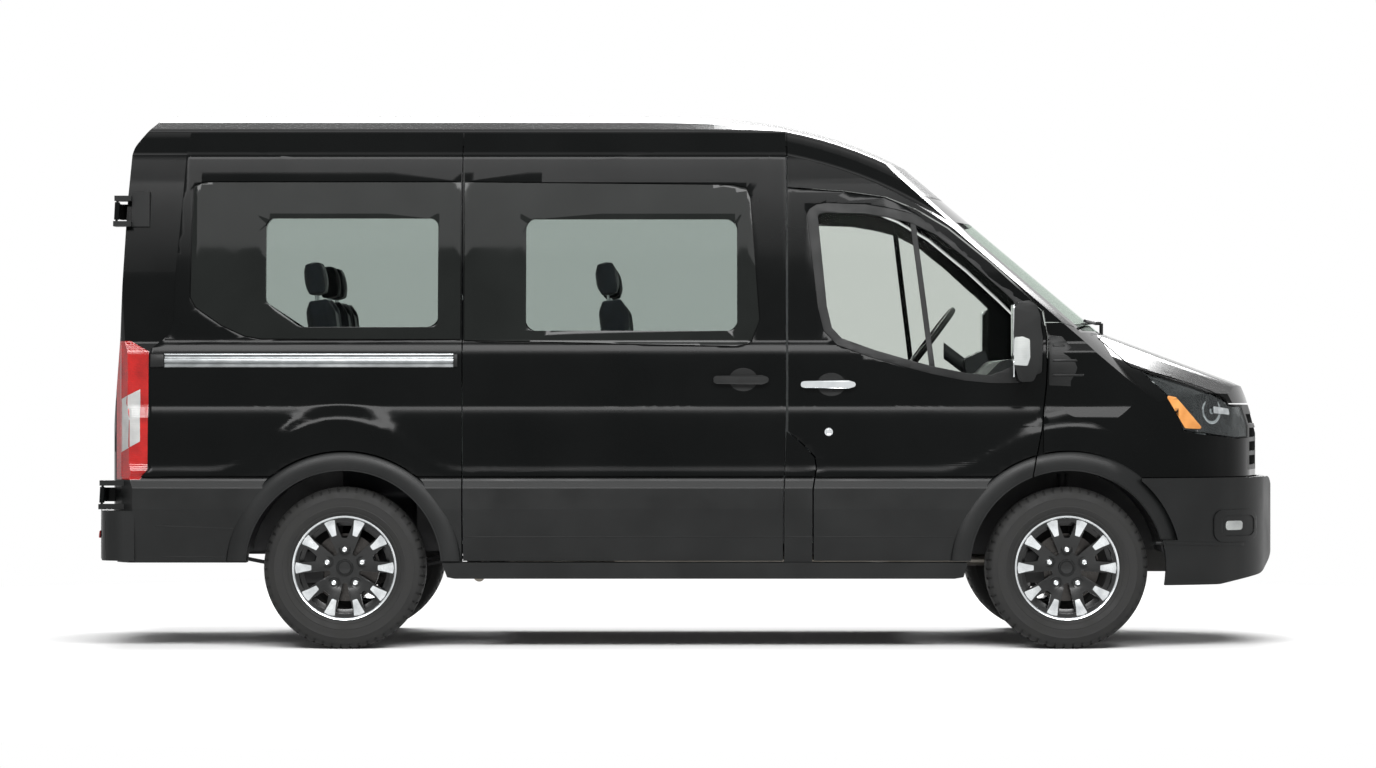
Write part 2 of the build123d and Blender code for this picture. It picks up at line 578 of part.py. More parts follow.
# ---- windscreen ----
SCREEN_TOP_X, SCREEN_TOP_SIDE_X, SCREEN_TOP_Y = 1212.0, 1084.0, 790.0
SCREEN_LOW_X, SCREEN_LOW_SIDE_X, SCREEN_LOW_Y = 1948.0, 1798.0, 868.0


def screen_plan(gap):
    """Plan outline of the windscreen between header, pillars and cowl."""
    top_x, top_side = SCREEN_TOP_X - gap, SCREEN_TOP_SIDE_X - gap
    low_x, low_side = SCREEN_LOW_X + gap, SCREEN_LOW_SIDE_X + gap
    ty, ly = SCREEN_TOP_Y + gap, SCREEN_LOW_Y + gap
    edges = [
        ThreePointArc((top_side, -ty, 1000), (top_x, 0, 1000), (top_side, ty, 1000)),
        Line((top_side, ty, 1000), (low_side, ly, 1000)),
        ThreePointArc((low_side, ly, 1000), (low_x, 0, 1000), (low_side, -ly, 1000)),
        Line((low_side, -ly, 1000), (top_side, -ty, 1000)),
    ]
    return extrude(make_face(edges), amount=1500, dir=(0, 0, 1))


glass_skin = bow(1.0) - bow(6.7)
save("windscreen", glass_skin & screen_plan(0.0))
front = front - ((bow(-90.0) - bow(7.0)) & screen_plan(4.0)) - screen_plan(-42.0)

# ---- bonnet, lamps, nose, wings ----
BONNET_LINE = [
    (1871.0, 1440.0), (1912.0, 1412.0), (1957.0, 1366.0), (2030.0, 1291.0), (2071.0, 1279.0), (2172.0, 1256.0),
    (2311.0, 1214.0), (2398.0, 1182.0), (2467.0, 1146.0), (2497.0, 1121.0), (2790.0, 1121.0),
]
BONNET_TOP = [(2790.0, 1900.0), (1650.0, 1900.0), (1650.0, 1500.0)]
BONNET_SIDE = BONNET_LINE + BONNET_TOP
COWL_X = 1985.0


def behind_cowl(x_front):
    """Space behind an upright surface bowed like the windscreen."""
    drop = 1200.0 ** 2 / (2 * BOW_R)
    arc = ThreePointArc((x_front - drop, -1200, 0), (x_front, 0, 0), (x_front - drop, 1200, 0))
    rest_line = Polyline((x_front - drop, 1200, 0), (0, 1200, 0), (0, -1200, 0), (x_front - drop, -1200, 0))
    return extrude(make_face([arc, rest_line]), amount=2600, dir=(0, 0, 1))


bonnet_cut = across(BONNET_SIDE, -1200, 1200) - behind_cowl(COWL_X)
bonnet_gap = across(outset(BONNET_SIDE, 6.0), -1200, 1200) - behind_cowl(COWL_X - 6.0)
bonnet = front & bonnet_cut
save("bonnet", bonnet)
front = front - bonnet_gap

LAMP = [
    (2071.0, 1270.0), (2172.0, 1247.0), (2311.0, 1205.0), (2398.0, 1173.0), (2467.0, 1137.0), (2497.0, 1112.0),
    (2790.0, 1112.0), (2790.0, 968.0), (2527.0, 957.0), (2426.0, 971.0), (2262.0, 994.0), (2219.0, 1104.0),
    (2182.0, 1164.0),
]
LAMP_INNER_Y = 560.0
BUMPER_TOP = 780.0
lamps = []
for side in (RIGHT, LEFT):
    lamps.append(front & side_across(side, LAMP, LAMP_INNER_Y, 1200))
    front = front - side_across(side, outset(LAMP, SEAT_GAP), LAMP_INNER_Y - SEAT_GAP, 1200)
save("headlights", *lamps)
GRILLE_HALF, GRILLE_Z0, GRILLE_Z1 = 559.4, 812.0, 1112.0
grille_body = front & block(2400, 2800, -GRILLE_HALF, GRILLE_HALF, GRILLE_Z0, GRILLE_Z1)
SLOTS = [(834.0, 878.0), (898.0, 942.0), (962.0, 1006.0), (1026.0, 1070.0)]
for z0, z1 in SLOTS:
    for y0 in (-520.0, -170.0, 180.0):
        grille_body = grille_body - block(2400, 2800, y0, y0 + 340, z0, z1)
save("grille", grille_body)
front = front - block(2400, 2800, -GRILLE_HALF - SEAT_GAP, GRILLE_HALF + SEAT_GAP, GRILLE_Z0 - SEAT_GAP, GRILLE_Z1 + 200)
FASCIA = [(2265.0, 988.0), (2300.0, BUMPER_TOP + 4), (2790.0, BUMPER_TOP + 4), (2790.0, 1112.0), (2265.0, 1112.0)]
fascia = front & across(FASCIA, -1200, 1200)
save("front_fascia", fascia)
front = front - across(outset(FASCIA, SEAT_GAP), -1200, 1200)
front = front - block(2060, 2800, -1200, 1200, 0, BUMPER_TOP + 4)

WING_BACK = [(1621.0, 1500.0), (1641.0, 1424.0), (1635.0, 1215.0), (1614.0, 1010.0), (1573.0, 792.0), (1560.0, 300.0)]
WING = [(1700.0, 1490.0), (1621.0, 1490.0)] + WING_BACK[1:] + [(2790.0, 300.0), (2790.0, 1440.0), (1871.0, 1440.0)]
wings = []
for side in (RIGHT, LEFT):
    wing = front & side_across(side, WING, 560, 1200)
    wings.append(wing + ((front_flares[side] & side_across(side, WING, FLARE_IN - 10, 1200)) - wing))
save("front_wings", *wings)
front = front - across(outset(WING, 3.0), -1200, 1200)
cut_rear_flares = []
for side in (RIGHT, LEFT):
    cut_rear_flares.append(rear_flares[side] - (right_side if side == RIGHT else left_side))

# ---- cab structure: toe board, post hoops ----
FLOOR_Z0, FLOOR_Z1 = 440.0, 480.0
HOUSE_R, HOUSE_T = ARCH_R + 10.0, 9.0
FRONT_HOUSE_Y, REAR_HOUSE_Y = 545.0, 700.0
SIDE_IN = 932.0
firewall = block(1610, 1625, -SIDE_IN + 10, SIDE_IN - 10, 480, 1330)
firewall = firewall - barrel(HOUSE_R + 0.3, FRONT_AXLE_X, AXLE_Z, -1200, -FRONT_HOUSE_Y + 10)
firewall = firewall - barrel(HOUSE_R + 0.3, FRONT_AXLE_X, AXLE_Z, FRONT_HOUSE_Y - 10, 1200)
firewall = firewall & inner
HOOP_X = [(380.0, 500.0), (-1130.0, -1040.0)]
HOOP_FACE = [
    (0.0, HEIGHT - 135.0), (640.0, 2290.0), (715.0, 2245.0), (760.0, 2160.0), (845.0, 1700.0), (875.0, 1380.0),
    (890.0, 1250.0), (890.0, 480.0),
]
HOOP_RADII = [2600.0, 200.0, 90.0, 200.0, 900.0, 300.0, 60.0, 0.0]
hoop_out = along([(y - 6 if y > 700 else y, z) for y, z in INNER]
                 + [(-y + 6 if y > 700 else -y, z) for y, z in reversed(INNER[1:])],
                 -2500, 2600, inner_radii) & inner
hoop_in = along(HOOP_FACE + [(-y, z) for y, z in reversed(HOOP_FACE[1:])],
                -2500, 2600, HOOP_RADII + list(reversed(HOOP_RADII[1:])))
hoops = []
for x0, x1 in HOOP_X:
    hoops.append((hoop_out - hoop_in) & block(x0, x1, -1200, 1200, 480, 2600))
save("cab_frame", front, firewall)
save("roof_hoops", *hoops)

floor = block(-2560, 1625, -899, 899, FLOOR_Z0, FLOOR_Z1)
for x, y_in in ((FRONT_AXLE_X, FRONT_HOUSE_Y), (REAR_AXLE_X, REAR_HOUSE_Y)):
    for side in (RIGHT, LEFT):
        floor = floor - side_box(side, x - HOUSE_R, x + HOUSE_R, y_in, 1000, 0, 480)
        house = barrel(HOUSE_R, x, AXLE_Z, side * y_in, side * SIDE_IN)
        house = house - barrel(HOUSE_R - HOUSE_T, x, AXLE_Z, side * (y_in + HOUSE_T), side * 1000)
        house = house & block(x - 600, x + 600, -1000, 1000, FLOOR_Z0, 1000)
        house = house & (inner + block(-3000, 3000, -899, 899, FLOOR_Z0, FLOOR_Z1 + 0.1))
        floor = floor + house
save("floor_pan", floor)

# ---- bumpers, steps, flares ----
BUMPER_PLAN = [(1900.0, 1030.0), (2050.0, 1024.0), (2370.0, 930.0), (2640.0, 680.0), (2738.0, 300.0), (NOSE_X, 60.0)]
bumper_ring = [(x, -y) for x, y in BUMPER_PLAN] + list(reversed([(x, y) for x, y in BUMPER_PLAN]))
bumper_radii = [0.0, 500.0, 700.0, 480.0, 700.0, 900.0, 900.0, 700.0, 480.0, 700.0, 500.0, 0.0]
BUMPER_FACE = [
    (1900.0, BUMPER_TOP), (1900.0, 292.0), (NOSE_X - 330.0, 292.0), (NOSE_X - 105.0, 334.0), (NOSE_X - 34.0, 400.0),
    (NOSE_X + 8.0, 520.0), (NOSE_X + 8.0, 680.0), (NOSE_X - 46.0, BUMPER_TOP),
]
bumper_solid = upright(bumper_ring, 200, 900, bumper_radii)
bumper_solid = bumper_solid & across(BUMPER_FACE, -1200, 1200, [0, 0, 120, 90, 120, 120, 90, 30])
BUMPER_HOLLOW = [
    (1800.0, 200.0), (2420.0, 200.0), (2420.0, 334.0), (NOSE_X - 350.0, 334.0), (NOSE_X - 135.0, 374.0),
    (NOSE_X - 72.0, 426.0), (NOSE_X - 42.0, 522.0), (NOSE_X - 42.0, 676.0), (NOSE_X - 92.0, 790.0),
    (NOSE_X - 92.0, 900.0), (1800.0, 900.0),
]
bumper_core = upright([(x - 45, y * 0.955) for x, y in bumper_ring], 200, 900, bumper_radii)
bumper_core = bumper_core & across(BUMPER_HOLLOW, -1200, 1200)
bumper = bumper_solid - bumper_core - barrel(FLARE_R + 4, FRONT_AXLE_X, AXLE_Z, -1200, 1200)
low_corner = block(1900, 2300, -1200, 1200, 0, FLARE_FRONT_Z - 3) - barrel(ARCH_R + 6, FRONT_AXLE_X, AXLE_Z, -1200, 1200)
bumper = bumper + ((bumper_solid - bumper_core) & low_corner)
bumper = bumper - block(1800, 2064, -1200, 1200, FLARE_FRONT_Z - 3, 900)
save("front_bumper", bumper)

REAR_BUMPER_TOP, REAR_BUMPER_LOW = 632.0, 405.0
tail_ring = [
    (-2524.0, -1026.0), (-2600.0, -1026.0), (-2676.0, -985.0), (-2728.0, -600.0), (TAIL_X, -60.0), (TAIL_X, 60.0),
    (-2728.0, 600.0), (-2676.0, 985.0), (-2600.0, 1026.0), (-2524.0, 1026.0),
]
tail = upright(tail_ring, REAR_BUMPER_LOW, REAR_BUMPER_TOP, [0, 90, 120, 900, 900, 900, 900, 120, 90, 0])
tail = tail - block(-2700, -2400, -940, 940, 0, REAR_BUMPER_TOP - 40) - outer
tail = tail - block(-2660, -2400, -1030 + 40, 1030 - 40, 0, REAR_BUMPER_TOP - 40)
save("rear_bumper", tail)
save("arch_flares", *cut_rear_flares)

STEP_X0, STEP_X1 = -1125.0, 1272.0
steps = []
for side in (RIGHT, LEFT):
    board = side_across(side, [(STEP_X0, SILL_Z), (STEP_X0 + 25, 330), (STEP_X0 + 60, 323), (STEP_X1 - 60, 323),
                               (STEP_X1 - 20, 330), (STEP_X1, SILL_Z)], 905, 1020, 6.0)
    steps.append(board)
save("side_steps", *steps)

# ---- rail of the sliding door ----
RAIL_FACE = [(996.0, 1285.0), (1016.0, 1285.0), (1016.0, 1349.0), (994.6, 1349.0)]
save("sliding_door_rail", along([(-y, z) for y, z in RAIL_FACE], -2453, -1070))

# ---- mirrors ----
MIRROR_NAMES = {RIGHT: "mirror_right", LEFT: "mirror_left"}
MIRROR_FACE = [(1500.0, 1215.0), (1600.0, 1225.0), (1612.0, 1380.0), (1602.0, 1560.0), (1560.0, 1590.0),
               (1480.0, 1580.0), (1466.0, 1500.0), (1470.0, 1290.0)]
for side, name in MIRROR_NAMES.items():
    case = side_across(side, MIRROR_FACE, 1040, 1235, 30.0)
    arm = side_across(side, [(1480.0, 1290.0), (1570.0, 1290.0), (1560.0, 1345.0), (1490.0, 1345.0)], 980, 1060, 8.0)
    foot = side_across(side, [(1440.0, 1280.0), (1580.0, 1260.0), (1590.0, 1400.0), (1500.0, 1400.0)], 972, 1000, 8.0)
    save(name, (case + arm + foot) - front_doors[side] - side_layer(side, 8.0, 90.0))

# ---- wheels ----
RIM_PROFILE = [
    (214.0, -92.0), (RIM_FLANGE_R, -92.0), (RIM_FLANGE_R, -85.0), (RIM_R, -85.0), (RIM_R, 85.0),
    (RIM_FLANGE_R, 85.0), (RIM_FLANGE_R, 92.0), (214.0, 92.0),
]
TYRE_PROFILE = [
    (226.3, 84.6), (239.0, 84.6), (245.0, 100.0), (270.0, 114.0), (305.0, 117.5), (342.0, 110.0), (362.0, 96.0),
    (TYRE_R, 76.0), (TYRE_R, -76.0), (362.0, -96.0), (342.0, -110.0), (305.0, -117.5), (270.0, -114.0),
    (245.0, -100.0), (239.0, -84.6), (226.3, -84.6), (226.3, -66.0), (240.0, -68.0), (262.0, -100.0),
    (305.0, -104.0), (348.0, -92.0), (357.0, -70.0), (357.0, 70.0), (348.0, 92.0), (305.0, 104.0), (262.0, 100.0),
    (240.0, 68.0), (226.3, 66.0),
]
SPINDLE_R, HUB_BORE_R = 30.0, 30.4
FACE_W0, FACE_W1 = 32.0, 62.0
HUB_R, HUB_W0, HUB_W1 = 84.0, 20.0, 66.0


def spun(profile, x, side):
    """Ring turned from (radius, offset) pairs about a wheel's axle; offset grows outboard."""
    pts = [(x + r, side * (WHEEL_Y + w), AXLE_Z) for r, w in profile]
    face = make_face(Polyline(*pts, close=True))
    return revolve(face, axis=Axis((x, 0, AXLE_Z), (0, 1, 0)))


def turned(shape, x, degrees):
    """Shape turned about the axle line at x."""
    return shape.rotate(Axis((x, 0, AXLE_Z), (0, 1, 0)), degrees)


def make_rim(x, side):
    y = side * WHEEL_Y
    rim = spun(RIM_PROFILE, x, side)
    face = barrel(215.0, x, AXLE_Z, y + side * FACE_W0, y + side * FACE_W1)
    deep = [(-11.0, 74.0), (11.0, 74.0), (54.0, 196.0), (-54.0, 196.0)]
    short = [(-14.0, 132.0), (14.0, 132.0), (34.0, 196.0), (-34.0, 196.0)]
    for k in range(LUG_COUNT):
        for outline, start in ((deep, 36.0), (short, 0.0)):
            hole = side_across(side, [(x + u, AXLE_Z + v) for u, v in outline], WHEEL_Y, WHEEL_Y + 100, 8.0)
            face = face - turned(hole, x, start + 360.0 / LUG_COUNT * k)
    hub = barrel(HUB_R, x, AXLE_Z, y + side * HUB_W0, y + side * HUB_W1)
    rim = rim + face + hub
    rim = rim - barrel(HUB_BORE_R, x, AXLE_Z, y, y + side * 45.0)
    for k in range(LUG_COUNT):
        stud = barrel(STUD_R, x, AXLE_Z + LUG_PCD / 2, y, y + side * 120)
        rim = rim - turned(stud, x, 360.0 / LUG_COUNT * k)
    return rim


DISC_W0, DISC_W1 = -28.0, -4.0
CORNERS = [
    ("front_right", FRONT_AXLE_X, RIGHT), ("front_left", FRONT_AXLE_X, LEFT),
    ("rear_right", REAR_AXLE_X, RIGHT), ("rear_left", REAR_AXLE_X, LEFT),
]
for corner, x, side in CORNERS:
    y = side * WHEEL_Y
    save("tyre_" + corner, spun(TYRE_PROFILE, x, side))
    save("rim_" + corner, make_rim(x, side))
    disc = barrel(DISC_R, x, AXLE_Z, y + side * DISC_W0, y + side * DISC_W1)
    hat = barrel(82.0, x, AXLE_Z, y + side * DISC_W1, y + side * (HUB_W0 - 0.3))
    disc = disc + hat - barrel(HUB_BORE_R, x, AXLE_Z, y - side * 60, y + side * 60)
    save("brake_disc_" + corner, disc)

# ---- knuckles, struts, rear axle ----
PIN_Y, PIN_Z = 770.0, 245.0
PIN_LEAN = 0.20


def pin_point(side, z):
    """Point of the steering axis at a height."""
    return (FRONT_AXLE_X, side * (PIN_Y - (z - PIN_Z) * PIN_LEAN), z)


def caliper(x, side, angle):
    """Brake caliper straddling the disc."""
    y = side * WHEEL_Y
    body = block(x - 70, x + 70, y + side * (DISC_W0 - 34), y + side * (DISC_W1 + 18), AXLE_Z + 100, AXLE_Z + 190)
    body = body - block(x - 80, x + 80, y + side * (DISC_W0 - 6), y + side * (DISC_W1 + 6), AXLE_Z, AXLE_Z + 163)
    body = body & barrel(200.0, x, AXLE_Z, y - side * 80, y + side * 80)
    return turned(body, x, angle)


for side, name in ((RIGHT, "front_knuckle_right"), (LEFT, "front_knuckle_left")):
    x, y = FRONT_AXLE_X, side * WHEEL_Y
    upright_part = block(x - 45, x + 45, side * 735, side * 800, PIN_Z + 27, 470)
    upright_part = upright_part + rod(pin_point(side, PIN_Z + 12), pin_point(side, PIN_Z + 40), 14)
    spindle = barrel(SPINDLE_R, x, AXLE_Z, side * 790, y + side * 44)
    strut = rod(pin_point(side, 430), pin_point(side, 660), 30) + rod(pin_point(side, 640), pin_point(side, 793), 22)
    steer_arm = block(x - 150, x, side * 740, side * 765, 300, 330)
    save(name, upright_part + spindle + strut + steer_arm + caliper(x, side, -90.0)
         + block(x - 150, x - 40, side * 775, side * 812, 345, 395))

beam = rod((REAR_AXLE_X, -745, AXLE_Z), (REAR_AXLE_X, 745, AXLE_Z), 42)
for side in (RIGHT, LEFT):
    beam = beam + barrel(SPINDLE_R, REAR_AXLE_X, AXLE_Z, side * 740, side * (WHEEL_Y + 44))
    beam = beam + barrel(110.0, REAR_AXLE_X, AXLE_Z, side * 790, side * 804)
    beam = beam + caliper(REAR_AXLE_X, side, -90.0)
    beam = beam + block(REAR_AXLE_X - 150, REAR_AXLE_X, side * 790, side * 808, 345, 395)
    leaf = [(-2200.0, 425.0), (-2180.0, 412.0), (-1700.0, 318.0), (-1440.0, 318.0), (-960.0, 412.0), (-940.0, 425.0),
            (-955.0, 428.0), (-1440.0, 331.0), (-1700.0, 331.0), (-2185.0, 428.0)]
    beam = beam + side_across(side, leaf, 455, 525)
save("rear_axle", beam)

# ---- chassis ----
RAIL_Y0, RAIL_Y1 = 370.0, 430.0
rails = block(-2600, -2540, -RAIL_Y1, RAIL_Y1, 405, FLOOR_Z0)
for side in (RIGHT, LEFT):
    rails = rails + side_box(side, -2600, 1700, RAIL_Y0, RAIL_Y1, 415, FLOOR_Z0)
    rails = rails + side_box(side, 1626, 1700, RAIL_Y0, RAIL_Y1, 415, 600)
    rails = rails + side_box(side, 1626, 2620, RAIL_Y0, RAIL_Y1, 540, 640)
    rails = rails + (side_box(side, 2600, 2760, RAIL_Y0, RAIL_Y1, 560, 640) & bumper_core)
rails = rails + block(2560, 2610, -520, 520, 560, 700)
HANGERS = [-2190.0, -950.0]
for side in (RIGHT, LEFT):
    for x in HANGERS:
        rails = rails + side_box(side, x - 25, x + 25, RAIL_Y1 - 5, 525, 428.3, FLOOR_Z0)
for x in (-900.0, 0.0, 900.0):
    rails = rails + block(x - 30, x + 30, -880, 880, 418, FLOOR_Z0)
save("chassis_rails", rails)

subframe = block(1600, 1860, -410, 410, 262, 330)
for side in (RIGHT, LEFT):
    for x in (1650.0, 1800.0):
        subframe = subframe + rod((x, side * 390, 290), (FRONT_AXLE_X, side * 745, 238), 16)
        leg_top = 415 if x < 1700 else 540
        subframe = subframe + side_box(side, x - 15, x + 20, 380, 420, 300, leg_top)
    subframe = subframe + post(26.0, FRONT_AXLE_X, side * 752, 224, PIN_Z + 7)
save("front_subframe", subframe)

engine = block(1760, 2380, -330, 330, 330.3, 1010)
save("engine", engine)
tank = side_across(LEFT, [(-480.0, 300.0), (620.0, 300.0), (620.0, 417.7), (-480.0, 417.7)], 445, 830, 30.0)
save("fuel_tank", tank)
pipe = rod((1600, -220, 380), (-350, -220, 380), 26)
pipe = pipe + rod((-350, -220, 365), (-850, -220, 365), 75)
pipe = pipe + rod((-800, -220, 365), (-960, -330, 360), 26) + rod((-950, -325, 360), (-960, -880, 330), 26)
save("exhaust", pipe - block(-2600, 1640, -RAIL_Y1 - 1, -RAIL_Y0 + 1, 414, 500) - block(-32, 32, -900, 900, 417, 440)
     - block(868, 932, -900, 900, 417, 440) - block(-932, -868, -900, 900, 417, 440))

# ---- inside ----
dash = across([(1609.7, 980.0), (1609.7, 1290.0), (1560.0, 1330.0), (1430.0, 1318.0), (1345.0, 1230.0), (1330.0, 1080.0),
               (1400.0, 980.0)], -880, 880, [0, 30, 60, 60, 40, 40, 20])
hood = across([(1450.0, 1300.0), (1345.0, 1250.0), (1330.0, 1330.0), (1430.0, 1375.0)], 250, 610, 15.0)
column = rod((1215.0, 430.0, 1391.0), (1440.0, 430.0, 1221.0), 32)
column = column - block(1000, 1240, 300, 560, 1300, 1500)
save("dashboard", dash + hood + column)

STEER_C = (1172.0, 430.0, 1424.0)
STEER_N = (0.797, 0.0, -0.605)
steer_plane = Plane(origin=STEER_C, z_dir=STEER_N)
wheel = steer_plane * (Torus(180, 15) + Cylinder(48, 40))
for k in range(4):
    wheel = wheel + steer_plane * (Rot(0, 0, 45 + 90 * k) * Pos(105, 0, 0) * Box(140, 26, 16))
save("steering_wheel", wheel)


def seat(x, y, width, base):
    """Seat from its backrest's foot: cushion, backrest, headrest and plinth."""
    lean = [(x - 40.0, base + 60), (x + 70.0, base + 60), (x - 20.0, base + 690), (x - 110.0, base + 690)]
    cushion = across([(x - 20.0, base), (x + 470.0, base + 10), (x + 490.0, base + 120), (x + 40.0, base + 100),
                      (x - 30.0, base + 90)], y - width / 2, y + width / 2, 25.0)
    back = across(lean, y - width / 2, y + width / 2, 28.0)
    head = across([(x - 118.0, base + 700), (x - 40.0, base + 705), (x - 55.0, base + 875), (x - 130.0, base + 870)],
                  y - 130, y + 130, 26.0)
    stem = block(x - 85, x - 73, y - 60, y - 48, base + 660, base + 740)
    stem = stem + block(x - 85, x - 73, y + 48, y + 60, base + 660, base + 740)
    plinth = block(x + 20, x + 400, y - width / 2 + 50, y + width / 2 - 50, FLOOR_Z1, base + 20)
    return cushion + back + head + stem + plinth


SEAT_BASE = 905.0
SEAT_W = 420.0
ROWS = [-1640.0, -965.0, -290.0]
SEAT_Y = [-600.0, 190.0, 620.0]
seats = [seat(x, y, SEAT_W, SEAT_BASE) for x in ROWS for y in SEAT_Y]
house_space = barrel(HOUSE_R + 0.4, REAR_AXLE_X, AXLE_Z, REAR_HOUSE_Y - 0.4, 1000)
house_space = house_space + barrel(HOUSE_R + 0.4, REAR_AXLE_X, AXLE_Z, -1000, -REAR_HOUSE_Y + 0.4)
save("passenger_seats", *[s - house_space for s in seats])
save("front_seats", seat(560.0, 430.0, 500.0, 830.0), seat(560.0, -430.0, 500.0, 830.0))

# ---- wipers ----
WIPER_R, WIPER_LIFT = 7.0, 26.0
WIPERS = [(-60.0, -700.0), (500.0, -20.0)]


def on_glass(y, z, lift):
    """Point over the windscreen at a height, lifted off the glass."""
    steep = math.hypot(SLOPE_X, SLOPE_Z)
    x = BOW_X - y * y / (2 * BOW_R) - (z - BOW_Z) * SLOPE_X / -SLOPE_Z
    return (x - lift * SLOPE_Z / steep, y, z + lift * SLOPE_X / steep)


wipers = []
for y0, y1 in WIPERS:
    pivot_x = COWL_X - 22.0 - y0 * y0 / (2 * BOW_R)
    heel, tip = on_glass(y0, 1478.0, WIPER_LIFT), on_glass(y1, 1482.0, WIPER_LIFT)
    arm = rod((pivot_x, y0, 1380), (pivot_x, y0, heel[2]), 9) + rod((pivot_x, y0, heel[2]), heel, 8)
    wipers.append((arm + rod(heel, tip, WIPER_R)) - outer)
save("wipers", *wipers)
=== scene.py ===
import math

import bpy
from mathutils import Matrix, Vector


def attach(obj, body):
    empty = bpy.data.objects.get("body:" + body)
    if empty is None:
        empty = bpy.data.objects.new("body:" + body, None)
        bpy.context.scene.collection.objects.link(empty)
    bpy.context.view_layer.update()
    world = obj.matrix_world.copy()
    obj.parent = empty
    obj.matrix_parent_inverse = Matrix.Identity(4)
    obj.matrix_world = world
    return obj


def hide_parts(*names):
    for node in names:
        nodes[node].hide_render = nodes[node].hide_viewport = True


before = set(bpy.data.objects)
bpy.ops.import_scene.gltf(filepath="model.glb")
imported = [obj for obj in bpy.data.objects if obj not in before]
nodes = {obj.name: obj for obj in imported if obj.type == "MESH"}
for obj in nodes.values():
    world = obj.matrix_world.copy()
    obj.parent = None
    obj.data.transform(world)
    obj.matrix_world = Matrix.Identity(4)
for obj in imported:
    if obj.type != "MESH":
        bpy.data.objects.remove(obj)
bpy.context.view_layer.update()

# Medium-roof minibus.  Sizes are in millimetres until they reach a mesh.
MM = 0.001
RIGHT, LEFT = -1, 1
SIDES = {"right": RIGHT, "left": LEFT}
AXLES = {"front": 1728, "rear": -1572}
AXLE_Z, WHEEL_Y = 370, 870
LIFT, SHEET = 3.5, 2.6
FLARE_R = 534
SEAM_Z, TOP_Z = 787, 2366


# ---- colours and node trees ----
def linear(hex_colour, alpha=1.0):
    """sRGB hex as the linear values that a shader takes."""
    parts = [int(hex_colour[i:i + 2], 16) / 255 for i in (1, 3, 5)]
    return (*[p / 12.92 if p <= 0.04045 else ((p + 0.055) / 1.055) ** 2.4 for p in parts], alpha)


def add(tree, kind, links=(), sockets=None, **settings):
    """A node with its settings, its socket values and the links into it."""
    node = tree.nodes.new("ShaderNode" + kind)
    for name, value in settings.items():
        setattr(node, name, value)
    for key, value in (sockets or {}).items():
        node.inputs[key].default_value = value
    for source, key in links:
        tree.links.new(source, node.inputs[key])
    return node


def start(name):
    """A fresh material, its tree and its object coordinates."""
    mat = bpy.data.materials.new(name)
    mat.use_nodes = True
    mat.node_tree.nodes.clear()
    place = add(mat.node_tree, "TexCoord").outputs["Object"]
    return mat, mat.node_tree, place


def grain(tree, place, size_mm, detail=2.0, stretch=(1, 1, 1)):
    """Noise whose lumps are as wide as the size given."""
    spread = add(tree, "Mapping", [(place, "Vector")], {"Scale": stretch})
    noise = add(tree, "TexNoise", [(spread.outputs[0], "Vector")],
                {"Scale": 1000 / size_mm, "Detail": detail})
    return noise.outputs["Fac"]


# most of a noise lies between these, so a drift is stretched from them
LUMP_RANGE = {"From Min": 0.3, "From Max": 0.7}
# a wave texture of scale 1 repeats after this many millimetres
WAVE_LENGTH = 314.16


def shade(tree, place, dark, light, rough, lump_mm, height, depth_mm, sockets):
    """Shader whose colour and roughness drift together over lumps, with a fine relief."""
    drift = [(grain(tree, place, lump_mm, 3.0), "Value")]
    tone = add(tree, "MapRange", drift, {**LUMP_RANGE, "To Min": 0.0, "To Max": 1.0}).outputs["Result"]
    gloss = add(tree, "MapRange", drift, {**LUMP_RANGE, "To Min": rough[0],
                                          "To Max": rough[1]}).outputs["Result"]
    colour = add(tree, "Mix", [(tone, "Factor")], {"A": linear(dark), "B": linear(light)}, data_type="RGBA")
    relief = add(tree, "Bump", [(height, "Height")], {"Distance": depth_mm * MM, "Strength": 1.0})
    links = [(colour.outputs["Result"], "Base Color"), (gloss, "Roughness"), (relief.outputs[0], "Normal")]
    return add(tree, "BsdfPrincipled", links, sockets).outputs[0]


def finish(name, dark, light, rough, lump_mm=120, fine_mm=4.0, depth_mm=0.05, stretch=(1, 1, 1), **sockets):
    """Whole opaque material: drifting tones over a fine noise relief."""
    mat, tree, place = start(name)
    sockets = {key.replace("_", " "): value for key, value in sockets.items()}
    shader = shade(tree, place, dark, light, rough, lump_mm, grain(tree, place, fine_mm, 1.0, stretch),
                   depth_mm,
                   sockets)
    add(tree, "OutputMaterial", [(shader, "Surface")])
    return mat


ENAMEL = {"Specular IOR Level": 0.07}
PLASTIC = {"Specular IOR Level": 0.20}


def enamel_shader(tree, place):
    return shade(tree, place, "#050606", "#080909", (0.10, 0.14), 400, grain(tree, place, 6.0, 1.0), 0.006,
                 ENAMEL)


def cladding_shader(tree, place):
    cells = add(tree, "TexVoronoi", [(place, "Vector")], {"Scale": 1000 / 3.2}).outputs["Distance"]
    return shade(tree, place, "#0b0c0c", "#121313", (0.36, 0.48), 240, cells, 0.10, PLASTIC)


def enamel():
    # black coach enamel under clear lacquer: deep gloss, a faint orange peel that softens reflected edges
    mat, tree, place = start("black_coach_enamel")
    add(tree, "OutputMaterial", [(enamel_shader(tree, place), "Surface")])
    return mat


def cladding():
    # moulded polypropylene: leather-like grain a few millimetres wide, coarse enough to show; dull sheen
    mat, tree, place = start("grained_polypropylene")
    add(tree, "OutputMaterial", [(cladding_shader(tree, place), "Surface")])
    return mat


